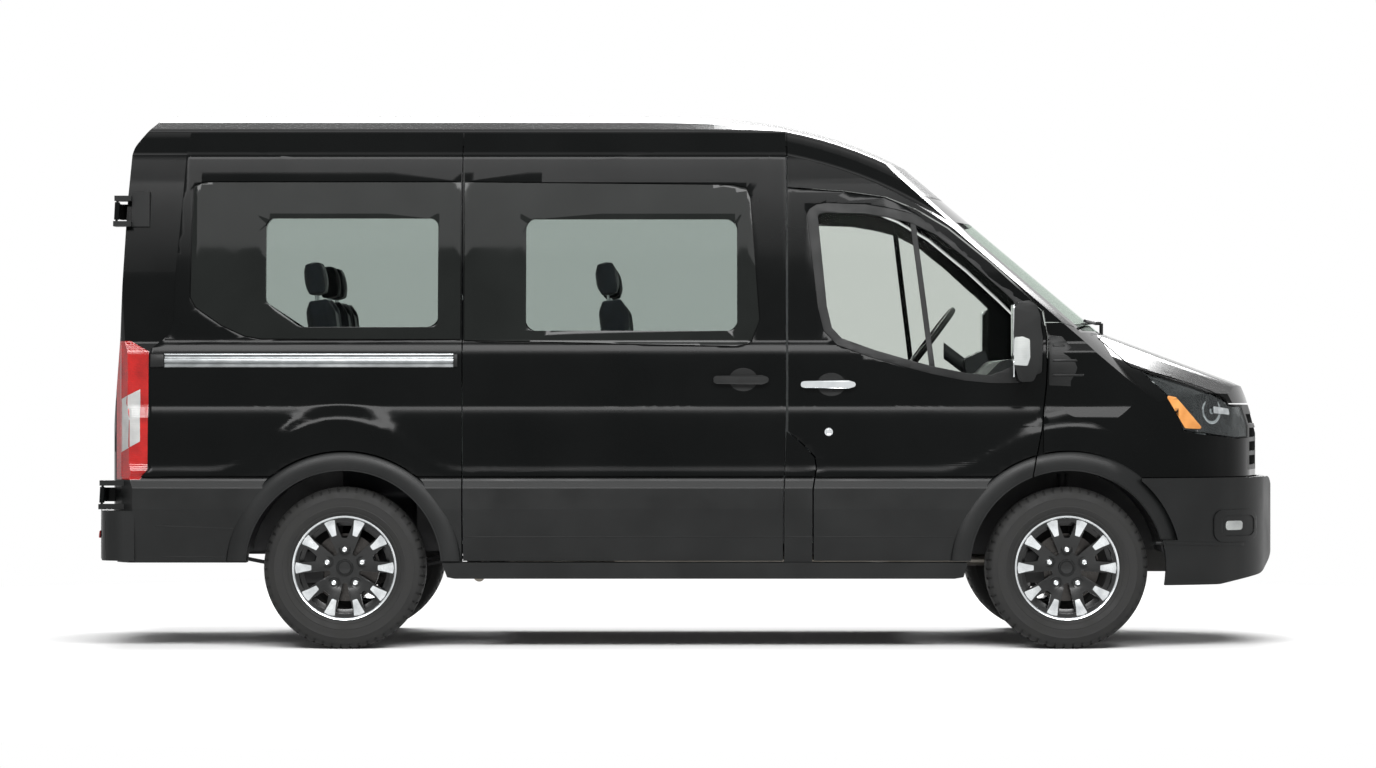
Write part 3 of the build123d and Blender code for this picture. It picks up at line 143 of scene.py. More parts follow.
def enamel_over_cladding():
    # body side: lacquered steel above the seam line, grained polypropylene below it and round each wheel
    mat, tree, place = start("enamel_over_polypropylene")
    axes = add(tree, "SeparateXYZ", [(place, "Vector")]).outputs
    covered = add(tree, "Math", [(axes["Z"], 0)], {1: (SEAM_Z - 5.0) * MM},
                  operation="LESS_THAN").outputs[0]
    for x in AXLES.values():
        centre = add(tree, "CombineXYZ", sockets={"X": x * MM, "Z": AXLE_Z * MM}).outputs[0]
        flat = add(tree, "CombineXYZ", [(axes["X"], "X"), (axes["Z"], "Z")]).outputs[0]
        reach = add(tree, "VectorMath", [(flat, 0), (centre, 1)], operation="DISTANCE").outputs["Value"]
        near = add(tree, "Math", [(reach, 0)], {1: (FLARE_R + 0.5) * MM}, operation="LESS_THAN").outputs[0]
        covered = add(tree, "Math", [(covered, 0), (near, 1)], operation="MAXIMUM").outputs[0]
    both = add(tree, "MixShader", [(covered, 0), (enamel_shader(tree, place), 1),
                                   (cladding_shader(tree, place), 2)])
    add(tree, "OutputMaterial", [(both.outputs[0], "Surface")])
    return mat


def pane(name, tint, clear_share, rough=0.02):
    """Clear sheet: a tint that lets most of the light through, and a smooth face."""
    mat, tree, place = start(name)
    film = grain(tree, place, 300, 2.0)
    through = add(tree, "BsdfTransparent", sockets={"Color": linear(tint)})
    drift = add(tree, "MapRange", [(film, "Value")], {**LUMP_RANGE, "To Min": rough,
                                                      "To Max": rough + 0.03})
    gloss = add(tree, "BsdfPrincipled", [(drift.outputs["Result"], "Roughness")],
                {"Base Color": linear("#060707"), "Specular IOR Level": 0.5})
    skin = add(tree, "MixShader", [(gloss.outputs[0], 1), (through.outputs[0], 2)], {0: clear_share})
    add(tree, "OutputMaterial", [(skin.outputs[0], "Surface")])
    return mat


# the windscreen's clear part: its foot and top in metres, and its half width at two heights
CLEAR_FOOT, CLEAR_TOP = 1.455, 1.955
CLEAR_HALF = {"From Min": 1.40, "From Max": 2.00, "To Min": 0.812, "To Max": 0.738}


def screen_glass():
    # laminated windscreen: clear, with a fired black border that hides the bond
    mat, tree, place = start("laminated_windscreen")
    axes = add(tree, "SeparateXYZ", [(place, "Vector")]).outputs
    across = add(tree, "Math", [(axes["Y"], 0)], operation="ABSOLUTE").outputs[0]
    half = add(tree, "MapRange", [(axes["Z"], "Value")], CLEAR_HALF).outputs["Result"]
    beside = add(tree, "Math", [(across, 0), (half, 1)], operation="GREATER_THAN").outputs[0]
    above = add(tree, "Math", [(axes["Z"], 0)], {1: CLEAR_TOP}, operation="GREATER_THAN").outputs[0]
    below = add(tree, "Math", [(axes["Z"], 0)], {1: CLEAR_FOOT}, operation="LESS_THAN").outputs[0]
    band = add(tree, "Math", [(beside, 0), (above, 1)], operation="MAXIMUM").outputs[0]
    band = add(tree, "Math", [(band, 0), (below, 1)], operation="MAXIMUM").outputs[0]
    clear_share = add(tree, "MapRange", [(band, "Value")],
                      {"From Min": 0.0, "From Max": 1.0, "To Min": 0.95, "To Max": 0.0}).outputs["Result"]
    through = add(tree, "BsdfTransparent", sockets={"Color": linear("#eef2ef")})
    gloss = shade(tree, place, "#0b0c0c", "#0f1010", (0.02, 0.05), 300, grain(tree, place, 60), 0.01,
                  {"Specular IOR Level": 0.4})
    both = add(tree, "MixShader", [(clear_share, 0), (gloss, 1), (through.outputs[0], 2)])
    add(tree, "OutputMaterial", [(both.outputs[0], "Surface")])
    return mat


def lens(name, tint, dark, light, clear_share, rib_mm, axis="Z"):
    """Moulded lamp cover: coloured plastic with ribs on its inner face."""
    mat, tree, place = start(name)
    ribs = add(tree, "TexWave", [(place, "Vector")], {"Scale": WAVE_LENGTH / rib_mm}, bands_direction=axis)
    skin = shade(tree, place, dark, light, (0.08, 0.14), 90, ribs.outputs["Fac"], 0.25,
                 {"Specular IOR Level": 0.4})
    through = add(tree, "BsdfTransparent", sockets={"Color": linear(tint)})
    both = add(tree, "MixShader", [(skin, 1), (through.outputs[0], 2)], {0: clear_share})
    add(tree, "OutputMaterial", [(both.outputs[0], "Surface")])
    return mat


def machined(name, dark, light, pitch_mm):
    """Turned or ground metal: close concentric tool marks about the vehicle's cross axis."""
    mat, tree, place = start(name)
    marks = add(tree, "TexWave", [(place, "Vector")], {"Scale": WAVE_LENGTH / pitch_mm, "Distortion": 0.6},
                wave_type="RINGS", rings_direction="SPHERICAL")
    skin = shade(tree, place, dark, light, (0.18, 0.30), 60, marks.outputs["Fac"], 0.02, {"Metallic": 0.95})
    add(tree, "OutputMaterial", [(skin, "Surface")])
    return mat


def woven(name, dark, light, thread_mm):
    """Flat woven upholstery: warp and weft cross at right angles, each thread rounded."""
    mat, tree, place = start(name)
    turn = add(tree, "Mapping", [(place, "Vector")], {"Rotation": (0.02, 0.03, 0.02)}).outputs[0]
    threads = [add(tree, "TexWave", [(turn, "Vector")], {"Scale": WAVE_LENGTH / thread_mm,
                                                         "Distortion": 0.4},
                   bands_direction=axis).outputs["Fac"] for axis in ("X", "Y", "Z")]
    height = threads[0]
    for other in threads[1:]:
        height = add(tree, "Math", [(height, 0), (other, 1)], operation="MULTIPLY").outputs[0]
    skin = shade(tree, place, dark, light, (0.85, 0.95), 45, height, 0.5,
                 {"Sheen Weight": 0.35, "Sheen Roughness": 0.4, "Specular IOR Level": 0.2})
    add(tree, "OutputMaterial", [(skin, "Surface")])
    return mat


PAINT = enamel()
GRAINED = cladding()
SIDE_SKIN = enamel_over_cladding()
# toughened side glass, grey-green through the thickness; the cab's panes are lighter
DARK_PANE = pane("toughened_tinted_glass", "#e2e6e4", 0.96)
LIGHT_PANE = pane("toughened_clear_glass", "#f1f3f1", 0.96)
# ceramic band fired on the glass: smooth gloss over a flat black print, slightly grey in the light
FRIT = finish("fired_ceramic_band", "#0e100f", "#131514", (0.03, 0.06), 300, 40, 0.01,
              Specular_IOR_Level=0.12)
# satin black frame trim and rubber seals: matt, faintly streaked by moulding
SEAL = finish("epdm_rubber_seal", "#090a0a", "#101111", (0.45, 0.60), 90, 3.0, 0.04,
              Specular_IOR_Level=0.22)
# carcass rubber: matt, brownish black, with a light bloom of dust
RUBBER = finish("vulcanised_rubber", "#141414", "#1e1e1d", (0.62, 0.80), 60, 2.2, 0.12,
                Specular_IOR_Level=0.3)
# cast alloy under gloss black lacquer
RIM_BLACK = finish("lacquered_cast_alloy", "#090a0a", "#101111", (0.16, 0.26), 70, 3.5, 0.02,
                   Specular_IOR_Level=0.4)
# diamond-turned alloy under thin clear lacquer: bright, with fine tool marks
TURNED = machined("diamond_turned_alloy", "#b9bcbe", "#d3d6d7", 1.6)
# ground cast iron friction face, dulled by a trace of rust
DISC = machined("ground_cast_iron", "#2f2d2c", "#454341", 2.4)
# polished chromium plate: mirror-bright
CHROME = finish("chromium_plate", "#cfd3d5", "#dfe2e3", (0.05, 0.09), 80, 12, 0.005, Metallic=1.0)
# anodised aluminium, drawn lengthways so that it streaks along its length
ANODISED = finish("anodised_aluminium", "#7d8081", "#8f9293", (0.30, 0.40), 60, 1.5, 0.015, (0.05, 1, 1),
                  Metallic=0.9)
# chassis paint, wax-coated: satin black with a soft uneven film
CHASSIS = finish("waxed_chassis_steel", "#131314", "#1c1c1d", (0.45, 0.65), 90, 9.0, 0.15,
                 Specular_IOR_Level=0.35)
# sand-cast iron: coarse grey skin
CAST = finish("sand_cast_iron", "#3b3a39", "#4f4e4c", (0.6, 0.8), 60, 3.0, 0.4, Metallic=0.5)
# stainless exhaust pipe, straw-tinted by heat
EXHAUST = finish("heat_tinted_stainless", "#6d675e", "#8b8780", (0.28, 0.42), 140, 3.0, 0.02, Metallic=0.9)
# blow-moulded tank: dull polyethylene with slow ripples
TANK = finish("blow_moulded_polyethylene", "#121212", "#191919", (0.5, 0.62), 160, 30, 0.6)
# soft-grained cabin mouldings
CABIN = finish("grained_abs_trim", "#1d1e20", "#26272a", (0.55, 0.7), 200, 2.6, 0.12,
               Specular_IOR_Level=0.3)
# stitched leather on the steering wheel rim
LEATHER = finish("smooth_black_leather", "#121212", "#1b1a1a", (0.42, 0.55), 60, 2.4, 0.10)
CLOTH = woven("flat_woven_upholstery", "#17181b", "#22242a", 2.4)
# needle-felt roof and side lining: pale, matt, faintly fuzzy
LINING = finish("needle_felt_lining", "#6f7272", "#7f8282", (0.9, 0.98), 120, 2.0, 0.3,
                Specular_IOR_Level=0.1)
# lamp covers: clear, red and amber acrylic, ribbed inside
CLEAR_COVER = pane("clear_polycarbonate", "#eef1f1", 0.86)
RED_LENS = lens("red_acrylic", "#d0120c", "#7c0a08", "#a11310", 0.10, 9.0, "Z")
CLEAR_LENS = lens("ribbed_clear_acrylic", "#e6e9ea", "#9b9e9d", "#b4b7b5", 0.25, 8.0, "Z")
AMBER_LENS = lens("amber_acrylic", "#f2a24a", "#b87534", "#dd9a55", 0.15, 8.0, "Z")
# vacuum-metallised reflector bowl: soft mirror
REFLECTOR = finish("metallised_reflector", "#9ea2a4", "#c3c7c8", (0.12, 0.22), 50, 6.0, 0.05, Metallic=0.95)
# blank number plate: white retroreflective sheet under gloss
PLATE = finish("retroreflective_sheet", "#d8d9d6", "#e2e3e0", (0.25, 0.35), 60, 2.0, 0.03)

FINISHES = {
    "paint": PAINT, "black_plastic": GRAINED, "window": LIGHT_PANE, "lamp_clear": CLEAR_COVER,
    "lamp_red": RED_LENS, "tyre_rubber": RUBBER, "rim_alloy": RIM_BLACK, "disc_iron": DISC,
    "chassis_steel": CHASSIS, "engine_iron": CAST, "exhaust_steel": EXHAUST, "tank_plastic": TANK,
    "cabin_plastic": CABIN, "seat_fabric": CLOTH, "rail_metal": ANODISED, "steering_rim": LEATHER,
}
NODE_FINISH = {
    "right_side_panel": SIDE_SKIN, "left_side_panel": SIDE_SKIN, "sliding_door": SIDE_SKIN,
    "front_door_right": SIDE_SKIN, "front_door_left": SIDE_SKIN, "front_wings": SIDE_SKIN,
    "side_windows": DARK_PANE, "rear_door_glass_right": DARK_PANE, "rear_door_glass_left": DARK_PANE,
    "roof_hoops": LINING, "windscreen": screen_glass(),
}
for name, node in nodes.items():
    base = node.data.materials[0].name.split(".")[0]
    for index in range(len(node.data.materials)):
        node.data.materials[index] = NODE_FINISH.get(name, FINISHES[base])


# ---- mesh tools ----
def deselect():
    bpy.ops.object.select_all(action="DESELECT")


def only(obj):
    """Makes one object the selected and active one."""
    deselect()
    obj.select_set(True)
    bpy.context.view_layer.objects.active = obj


def edit(obj, kind="FACE"):
    """Edit mode with everything deselected."""
    only(obj)
    bpy.ops.object.mode_set(mode="EDIT")
    bpy.ops.mesh.select_mode(type=kind)
    bpy.ops.mesh.select_all(action="DESELECT")
    bpy.ops.object.mode_set(mode="OBJECT")


def pick(obj, kind, test):
    """Selects the faces, edges or vertices whose middle and normal pass a test, and goes to edit mode."""
    edit(obj, kind)
    mesh = obj.data
    if kind == "FACE":
        for face in mesh.polygons:
            face.select = test(face.center, face.normal)
    elif kind == "EDGE":
        for edge in mesh.edges:
            a, b = (mesh.vertices[i].co for i in edge.vertices)
            edge.select = test((a + b) / 2, (b - a).normalized())
    else:
        for vert in mesh.vertices:
            vert.select = test(vert.co, vert.normal)
    bpy.ops.object.mode_set(mode="EDIT")


def out():
    bpy.ops.object.mode_set(mode="OBJECT")


def modify(obj, kind, **settings):
    """Adds a modifier and applies it."""
    only(obj)
    mod = obj.modifiers.new(kind.lower(), kind)
    for name, value in settings.items():
        setattr(mod, name, value)
    bpy.ops.object.modifier_apply(modifier=mod.name)


def smooth(obj, angle=35):
    only(obj)
    bpy.ops.object.shade_smooth_by_angle(angle=math.radians(angle))


def seat(obj):
    """Bakes place, turn and scale into the mesh."""
    only(obj)
    bpy.ops.object.transform_apply(location=True, rotation=True, scale=True)


def piece(obj, name, mat, body):
    """Names a finished piece, gives it its material and hangs it on its body."""
    obj.name = name
    obj.data.name = name
    obj.data.materials.clear()
    obj.data.materials.append(mat)
    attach(obj, body)
    return obj


def outward(obj, merge_mm=0.02):
    """Merges doubles and turns every face outward."""
    edit(obj, "VERT")
    bpy.ops.object.mode_set(mode="EDIT")
    bpy.ops.mesh.select_all(action="SELECT")
    bpy.ops.mesh.remove_doubles(threshold=merge_mm * MM)
    bpy.ops.mesh.normals_make_consistent(inside=False)
    out()


def rounded(points, radius, steps=6):
    """Outline with its corners rounded by arcs."""
    result = []
    count = len(points)
    radii = radius if isinstance(radius, (list, tuple)) else [radius] * count
    for i, here in enumerate(points):
        before, after = Vector(points[i - 1]), Vector(points[(i + 1) % count])
        here = Vector(here)
        u, v = (before - here), (after - here)
        room = 0.48 * min(u.length, v.length)
        u.normalize()
        v.normalize()
        half = math.acos(max(-1.0, min(1.0, u.dot(v)))) / 2
        reach = min(radii[i] / math.tan(half), room) if half < 1.54 else 0.0
        if reach < 0.5:
            result.append(tuple(here))
            continue
        bend = reach * math.tan(half)
        centre = here + (u + v).normalized() * (bend / math.sin(half))
        start_at, end_at = here + u * reach - centre, here + v * reach - centre
        sweep = start_at.angle_signed(end_at)
        for k in range(steps + 1):
            turn = -sweep * k / steps
            c, s = math.cos(turn), math.sin(turn)
            result.append((centre.x + start_at.x * c - start_at.y * s,
                           centre.y + start_at.x * s + start_at.y * c))
    return result


def outset(points, gap):
    """Outline with every side moved out by a gap."""
    count = len(points)
    area = sum(points[i - 1][0] * points[i][1] - points[i][0] * points[i - 1][1] for i in range(count))
    turn = 1.0 if area > 0 else -1.0
    result = []
    for i, here in enumerate(points):
        a, b = Vector(points[i - 1]), Vector(points[(i + 1) % count])
        here = Vector(here)
        u, v = (here - a).normalized(), (b - here).normalized()
        nu, nv = Vector((turn * u.y, -turn * u.x)), Vector((turn * v.y, -turn * v.x))
        result.append(tuple(here + (nu + nv) * (gap / (1.0 + nu.dot(nv)))))
    return result


def new_curve(dimensions):
    curve = bpy.data.curves.new("line", "CURVE")
    curve.dimensions = dimensions
    return curve


def add_spline(curve, points, closed=False):
    """Straight-sided spline through places in millimetres."""
    spline = curve.splines.new("POLY")
    spline.points.add(len(points) - 1)
    for point, place in zip(spline.points, points):
        point.co = (*[value * MM for value in place], 1)
    spline.use_cyclic_u = closed


def curve_mesh(curve):
    """Mesh object made from a curve."""
    holder = bpy.data.objects.new("line", curve)
    bpy.context.collection.objects.link(holder)
    only(holder)
    bpy.ops.object.convert(target="MESH")
    return bpy.context.object


def flat_sheet(outline, holes=()):
    """Filled flat mesh of an outline with holes, in the XY plane."""
    curve = new_curve("2D")
    curve.fill_mode = "BOTH"
    for loop in (outline, *holes):
        add_spline(curve, [(a, b, 0) for a, b in loop], True)
    return curve_mesh(curve)


def score(obj, columns, rows):
    """Cuts a flat sheet along straight columns and rows."""
    only(obj)
    bpy.ops.object.mode_set(mode="EDIT")
    for place, normal in [((c * MM, 0, 0), (1, 0, 0)) for c in columns] + [((0, r * MM, 0),
                                                                            (0, 1, 0)) for r in rows]:
        bpy.ops.mesh.select_all(action="SELECT")
        bpy.ops.mesh.bisect(plane_co=place, plane_no=normal)
    bpy.ops.mesh.select_all(action="SELECT")
    bpy.ops.mesh.remove_doubles(threshold=0.05 * MM)
    bpy.ops.mesh.tris_convert_to_quads()
    out()


def between(x, points):
    """Height of a broken line at a place."""
    if x <= points[0][0]:
        return points[0][1]
    for (xa, ya), (xb, yb) in zip(points, points[1:]):
        if x <= xb:
            return ya + (yb - ya) * (x - xa) / (xb - xa)
    return points[-1][1]


def ease(t):
    """Smooth step from 0 to 1."""
    t = max(0.0, min(1.0, t))
    return t * t * (3.0 - 2.0 * t)


# ---- form of the body side: distance from the centre plane at a place along and a height ----
SIDE_LINE = [
    (380, 1005), (640, 1028), (736, 1028), (768, 1014), (780, 1004), (792, 1004),
    (796, 1005), (900, 1011), (985, 1013.2), (1005, 1012.8), (1025, 1011.5), (1045, 1009.2),
    (1065, 1006), (1085, 1002), (1105, 996.9), (1114, 994.2), (1122, 993.4), (1180, 997),
    (1225, 1000.2), (1274, 1001.6), (1300, 1000.8), (1325, 998.3), (1350, 994.6), (1375, 988.8),
    (1395, 983.3), (1404, 977), (1700, 951), (2140, 885), (2260, 868), (2600, 850),
]
ROOF_EDGE_LINE = [(2150, 1150), (2265, 857), (2372, 791), (2425, 650)]
SOFTNESS = [(700, 6.0), (790, 5.0), (830, 14), (960, 24), (1060, 14), (1110, 7.0), (1160, 24),
            (1300, 16), (1400, 8.0), (1460, 40), (1700, 90), (2200, 30), (2250, 6.0), (2400, 6.0)]
PLAN_NARROW = [(-2700, 95), (-2655, 70), (-2615, 40), (-2560, 10), (-2500, 0.0), (1500, 0.0),
               (1700, 5.0), (1950, 26), (2120, 66), (2262, 122), (2330, 160)]
CREASE_OUT = 19
ROOF_FALL_X, ROOF_LEVEL_X = -300, 440


def roof_fall(x):
    """How far the roof line has come down at a place along."""
    return 300 * (max(x - ROOF_FALL_X, 0.0) / 1404) ** 2.8


def crease_height(x):
    """The lower crease runs level and climbs over each wheel."""
    height = 822
    for middle, rise, half in ((-1590, 268, 560), (1762, 226, 600)):
        u = abs(x - middle) / half
        if u < 1.0:
            height += rise * (1.0 - u * u) ** 2
    return height


def side_form(x, z):
    """Distance of the side from the centre plane; in front of the doors it turns in under the wing."""
    spread = between(z, SOFTNESS)
    down = max(roof_fall(x) - roof_fall(ROOF_LEVEL_X), 0.0)
    y = 0.0
    for k in range(-3, 4):
        at = z + spread * k / 3.0
        y += min(between(at, SIDE_LINE), between(at + down, ROOF_EDGE_LINE)) / 7.0
    if z > 770:
        y += CREASE_OUT * ease((crease_height(x) + 45 - z) / 90) * ease((z - 782) / 8.0)
    return y - sum(between(x + 24 * k, PLAN_NARROW) for k in (-1, 0, 1)) / 3.0


def lay_on_side(obj, side, lift):
    """Carries a flat sheet onto the body side."""
    for vert in obj.data.vertices:
        x, z = vert.co.x / MM, vert.co.y / MM
        vert.co = (vert.co.x, side * (side_form(x, z) + lift) * MM, vert.co.y)
    obj.data.update()


def spaced(low, high, step):
    """Evenly spread cuts between two places, about a step apart."""
    count = max(1, round((high - low) / step))
    return [low + (high - low) * k / count for k in range(1, count)]


ROWS = (spaced(390, 780, 26) + spaced(779, 800, 4) + spaced(800, 1140, 9) + spaced(1140, 1330, 24)
        + spaced(1330, 1420, 8) + spaced(1420, 2230, 48) + spaced(2230, 2380, 9))


def face_out(obj, wanted):
    """Merges doubles and turns an open sheet to face a direction."""
    outward(obj)
    if sum(face.normal.dot(wanted) * face.area for face in obj.data.polygons) < 0:
        pick(obj, "FACE", lambda c, n: True)
        bpy.ops.mesh.flip_normals()
        out()


def thicken(obj, thick, edge=None, segments=2, angle=55):
    """Gives a sheet its thickness behind its face, and rounds its edges."""
    modify(obj, "SOLIDIFY", thickness=thick * MM, offset=-1.0)
    if edge:
        modify(obj, "BEVEL", width=edge * MM, segments=segments, limit_method="ANGLE",
               angle_limit=math.radians(angle))


def side_panel(name, side, outline, mat, body, holes=(), lift=LIFT, thick=SHEET, edge=1.1, step=52):
    """Sheet panel of the body side with rolled edges."""
    zs = [p[1] for p in outline]
    obj = flat_sheet(outline, holes)
    score(obj, spaced(-2700, 2400, step), [r for r in ROWS if min(zs) < r < max(zs)])
    lay_on_side(obj, side, lift)
    face_out(obj, Vector((0, side, 0)))
    thicken(obj, thick, edge)
    smooth(obj, 38)
    return piece(obj, name, mat, body)


# ---- shapes made flat, then stood up or turned ----
def slab(outline, thick, edge, holes=()):
    """Flat plate with rounded edges; its face is up, its thickness goes down."""
    obj = flat_sheet(outline, holes)
    face_out(obj, Vector((0, 0, 1)))
    thicken(obj, thick, edge, 3, 50)
    smooth(obj)
    return obj


def stand(obj, origin, facing, up=(0, 0, 1)):
    """Stands a piece made flat so that its face looks along a direction, and bakes its place."""
    z = Vector(facing).normalized()
    x = Vector(up).cross(z).normalized()
    turn = Matrix((x, z.cross(x), z)).transposed().to_4x4()
    obj.matrix_world = Matrix.Translation(Vector(origin) * MM) @ turn
    seat(obj)
    return obj


def side_slab(side, outline, y, thick, edge, holes=()):
    """Plate that faces out of one side; outline along against height, face at y from the middle."""
    def turned_over(loop):
        return [(-side * x, z) for x, z in loop]
    obj = slab(turned_over(outline), thick, edge, [turned_over(hole) for hole in holes])
    return stand(obj, (0, side * y, 0), (0, side, 0))


def turned(profile, steps=64):
    """Solid turned about the upright axis from (radius, height) pairs; one off the axis is a ring."""
    curve = new_curve("3D")
    off_axis = profile[0][0] > 0.01 and profile[-1][0] > 0.01
    add_spline(curve, [(r, 0, h) for r, h in profile], off_axis)
    obj = curve_mesh(curve)
    bpy.ops.object.mode_set(mode="EDIT")
    bpy.ops.mesh.select_all(action="SELECT")
    bpy.ops.mesh.spin(steps=steps, angle=math.tau, center=(0, 0, 0), axis=(0, 0, 1))
    out()
    outward(obj, 0.01)
    return obj


def sliced(obj, place, normal, keep_below=True):
    """Cuts a piece by a plane and closes the cut."""
    pick(obj, "FACE", lambda c, n: True)
    bpy.ops.mesh.bisect(plane_co=Vector(place) * MM, plane_no=normal, use_fill=True, clear_outer=keep_below,
                        clear_inner=not keep_below)
    out()


def tube(points, radius, sides=8):
    """Round bar along points, capped."""
    curve = new_curve("3D")
    curve.bevel_depth = radius * MM
    curve.bevel_resolution = sides // 4
    curve.use_fill_caps = True
    add_spline(curve, points)
    obj = curve_mesh(curve)
    outward(obj, 0.01)
    smooth(obj, 50)
    return obj


def joined(objs):
    """Several meshes as one piece."""
    deselect()
    for obj in objs:
        obj.select_set(True)
    bpy.context.view_layer.objects.active = objs[0]
    bpy.ops.object.join()
    return objs[0]


def twin(obj):
    """Copy with its own mesh."""
    copy = obj.copy()
    copy.data = obj.data.copy()
    bpy.context.collection.objects.link(copy)
    return copy


def met(names, origin, direction):
    """Where a ray from outside first meets the named CAD nodes, in millimetres."""
    best = None
    for name in names:
        hit, place, _, _ = nodes[name].ray_cast(Vector(origin) * MM, Vector(direction))
        if hit:
            far = (place / MM - Vector(origin)).length
            best = far if best is None else min(best, far)
    return best


# clear of everything at the side
BESIDE = 1300


def draped(name, side, outline, on, mat, body, holes=(), lift=1.5, thick=2.0, edge=0.6, step=24):
    """Sheet laid from the side on the CAD nodes named."""
    xs, zs = [p[0] for p in outline], [p[1] for p in outline]
    obj = flat_sheet(outline, holes)
    score(obj, spaced(min(xs), max(xs), step), spaced(min(zs), max(zs), step))
    last = 1000
    for vert in obj.data.vertices:
        x, z = vert.co.x / MM, vert.co.y / MM
        far = met(on, (x, side * BESIDE, z), (0, -side, 0))
        last = last if far is None else BESIDE - far
        vert.co = (vert.co.x, side * (last + lift) * MM, vert.co.y)
    face_out(obj, Vector((0, side, 0)))
    thicken(obj, thick, edge, angle=60)
    smooth(obj, 38)
    return piece(obj, name, mat, body)


def arc(axle, radius, start_deg, end_deg, count=24):
    """Points of an arc about an axle, seen along against height."""
    turns = [math.radians(start_deg + (end_deg - start_deg) * k / count) for k in range(count + 1)]
    return [(axle + radius * math.cos(t), AXLE_Z + radius * math.sin(t)) for t in turns]


# ---- outlines of the side, along against height ----
QUARTER_GLASS = [
    (-2265, 2118), (-2215, 2133), (-1038, 2133), (-1038, 1415), (-1950, 1417), (-2025, 1430),
    (-2130, 1478), (-2248, 1560), (-2274, 1606),
]
QUARTER_CLEAR = [(-1933, 1967), (-1145, 1967), (-1145, 1470), (-1774, 1470), (-1930, 1583)]
SLIDING_GLASS = [
    (-1029, 2133), (200, 2121), (262, 2107), (281, 2061), (322, 1501), (281, 1397),
    (215, 1383), (-1029, 1410),
]
LEFT_QUARTER_CLEAR = [(-2128, 2048), (-1153, 2048), (-1153, 1482), (-1894, 1482), (-2128, 1636)]
SLIDING_CLEAR = [(-742, 1963), (221, 1963), (221, 1453), (-742, 1453)]
LEFT_MID_CLEAR = [(-838, 2048), (250, 2043), (250, 1472), (-838, 1472)]
LEFT_MID_GLASS = [(-1029, 2133), (330, 2121), (330, 1397), (-1029, 1410)]
DOOR_GLASS = [
    (585, 1990), (627, 2001), (807, 1995), (929, 1975), (1025, 1950), (1134, 1897),
    (1261, 1797), (1411, 1663), (1490, 1590), (1490, 1290), (1375, 1244), (1261, 1256),
    (1125, 1283), (1020, 1310), (847, 1360), (695, 1415), (649, 1465), (626, 1565),
]
SURROUND = [
    (540, 1988), (552, 2012), (585, 2034), (627, 2040), (811, 2034), (935, 2013),
    (1040, 1986), (1155, 1930), (1286, 1827), (1436, 1692), (1530, 1608), (1600, 1532),
    (1618, 1424), (1612, 1262), (1500, 1212), (1375, 1212), (1255, 1224), (1116, 1252),
    (1008, 1280), (832, 1330), (676, 1387), (615, 1452), (588, 1560),
]
DOOR_TOP = [
    (454, 2106), (711, 2088), (902, 2061), (1038, 2006), (1184, 1920), (1375, 1765),
    (1539, 1615), (1614, 1542), (1634, 1424), (1628, 1215), (1607, 1010), (1583, 881),
]
REAR_SEAM = [
    (-2495, SEAM_Z), (-2461, 822), (-2456, 1354), (-2450, 1370), (-2368, 1442), (-2350, 1501),
    (-2344, 1715), (-2331, 1870), (-2315, 2070), (-2297, 2316), (-2288, TOP_Z),
]
QUARTER_PANEL = (REAR_SEAM + [(-1037, TOP_Z), (-1035, SEAM_Z)]
                 + arc(AXLES["rear"], FLARE_R + 3, 51, 129))
SLIDING_PANEL = [(-1029, SEAM_Z), (-1031, TOP_Z), (444, TOP_Z), (444, 1100), (438, 900), (433, SEAM_Z)]
CORNER_PANEL = [
    (439, SEAM_Z), (565, SEAM_Z), (579, 819), (573, 874), (520, 932), (450, 991), (446, 991),
    (443, 900),
]
DOOR_PANEL = (DOOR_TOP + arc(AXLES["front"], FLARE_R + 3, 105.8, 129)
              + [(577, SEAM_Z), (585, 819), (579, 878), (524, 937), (454, 996)])
WING_PANEL = ([(1641, 1440), (1860, 1438), (1908, 1404), (1953, 1359), (2027, 1283),
               (2070, 1268), (2140, 1200), (2180, 1158), (2214, 1100), (2257, 990),
               (2296, SEAM_Z)] + arc(AXLES["front"], FLARE_R + 3, 51, 102) + [(1618, 1010), (1635, 1215)])

# ---- painted and glazed side ----
OVAL_A, OVAL_B = 62, 50


def oval(x, z, grow=0.0):
    """Outline of the hollow behind a door handle."""
    return [(x + (OVAL_A + grow) * math.cos(math.tau * k / 40),
             z + (OVAL_B + grow) * math.sin(math.tau * k / 40))
            for k in range(40)]


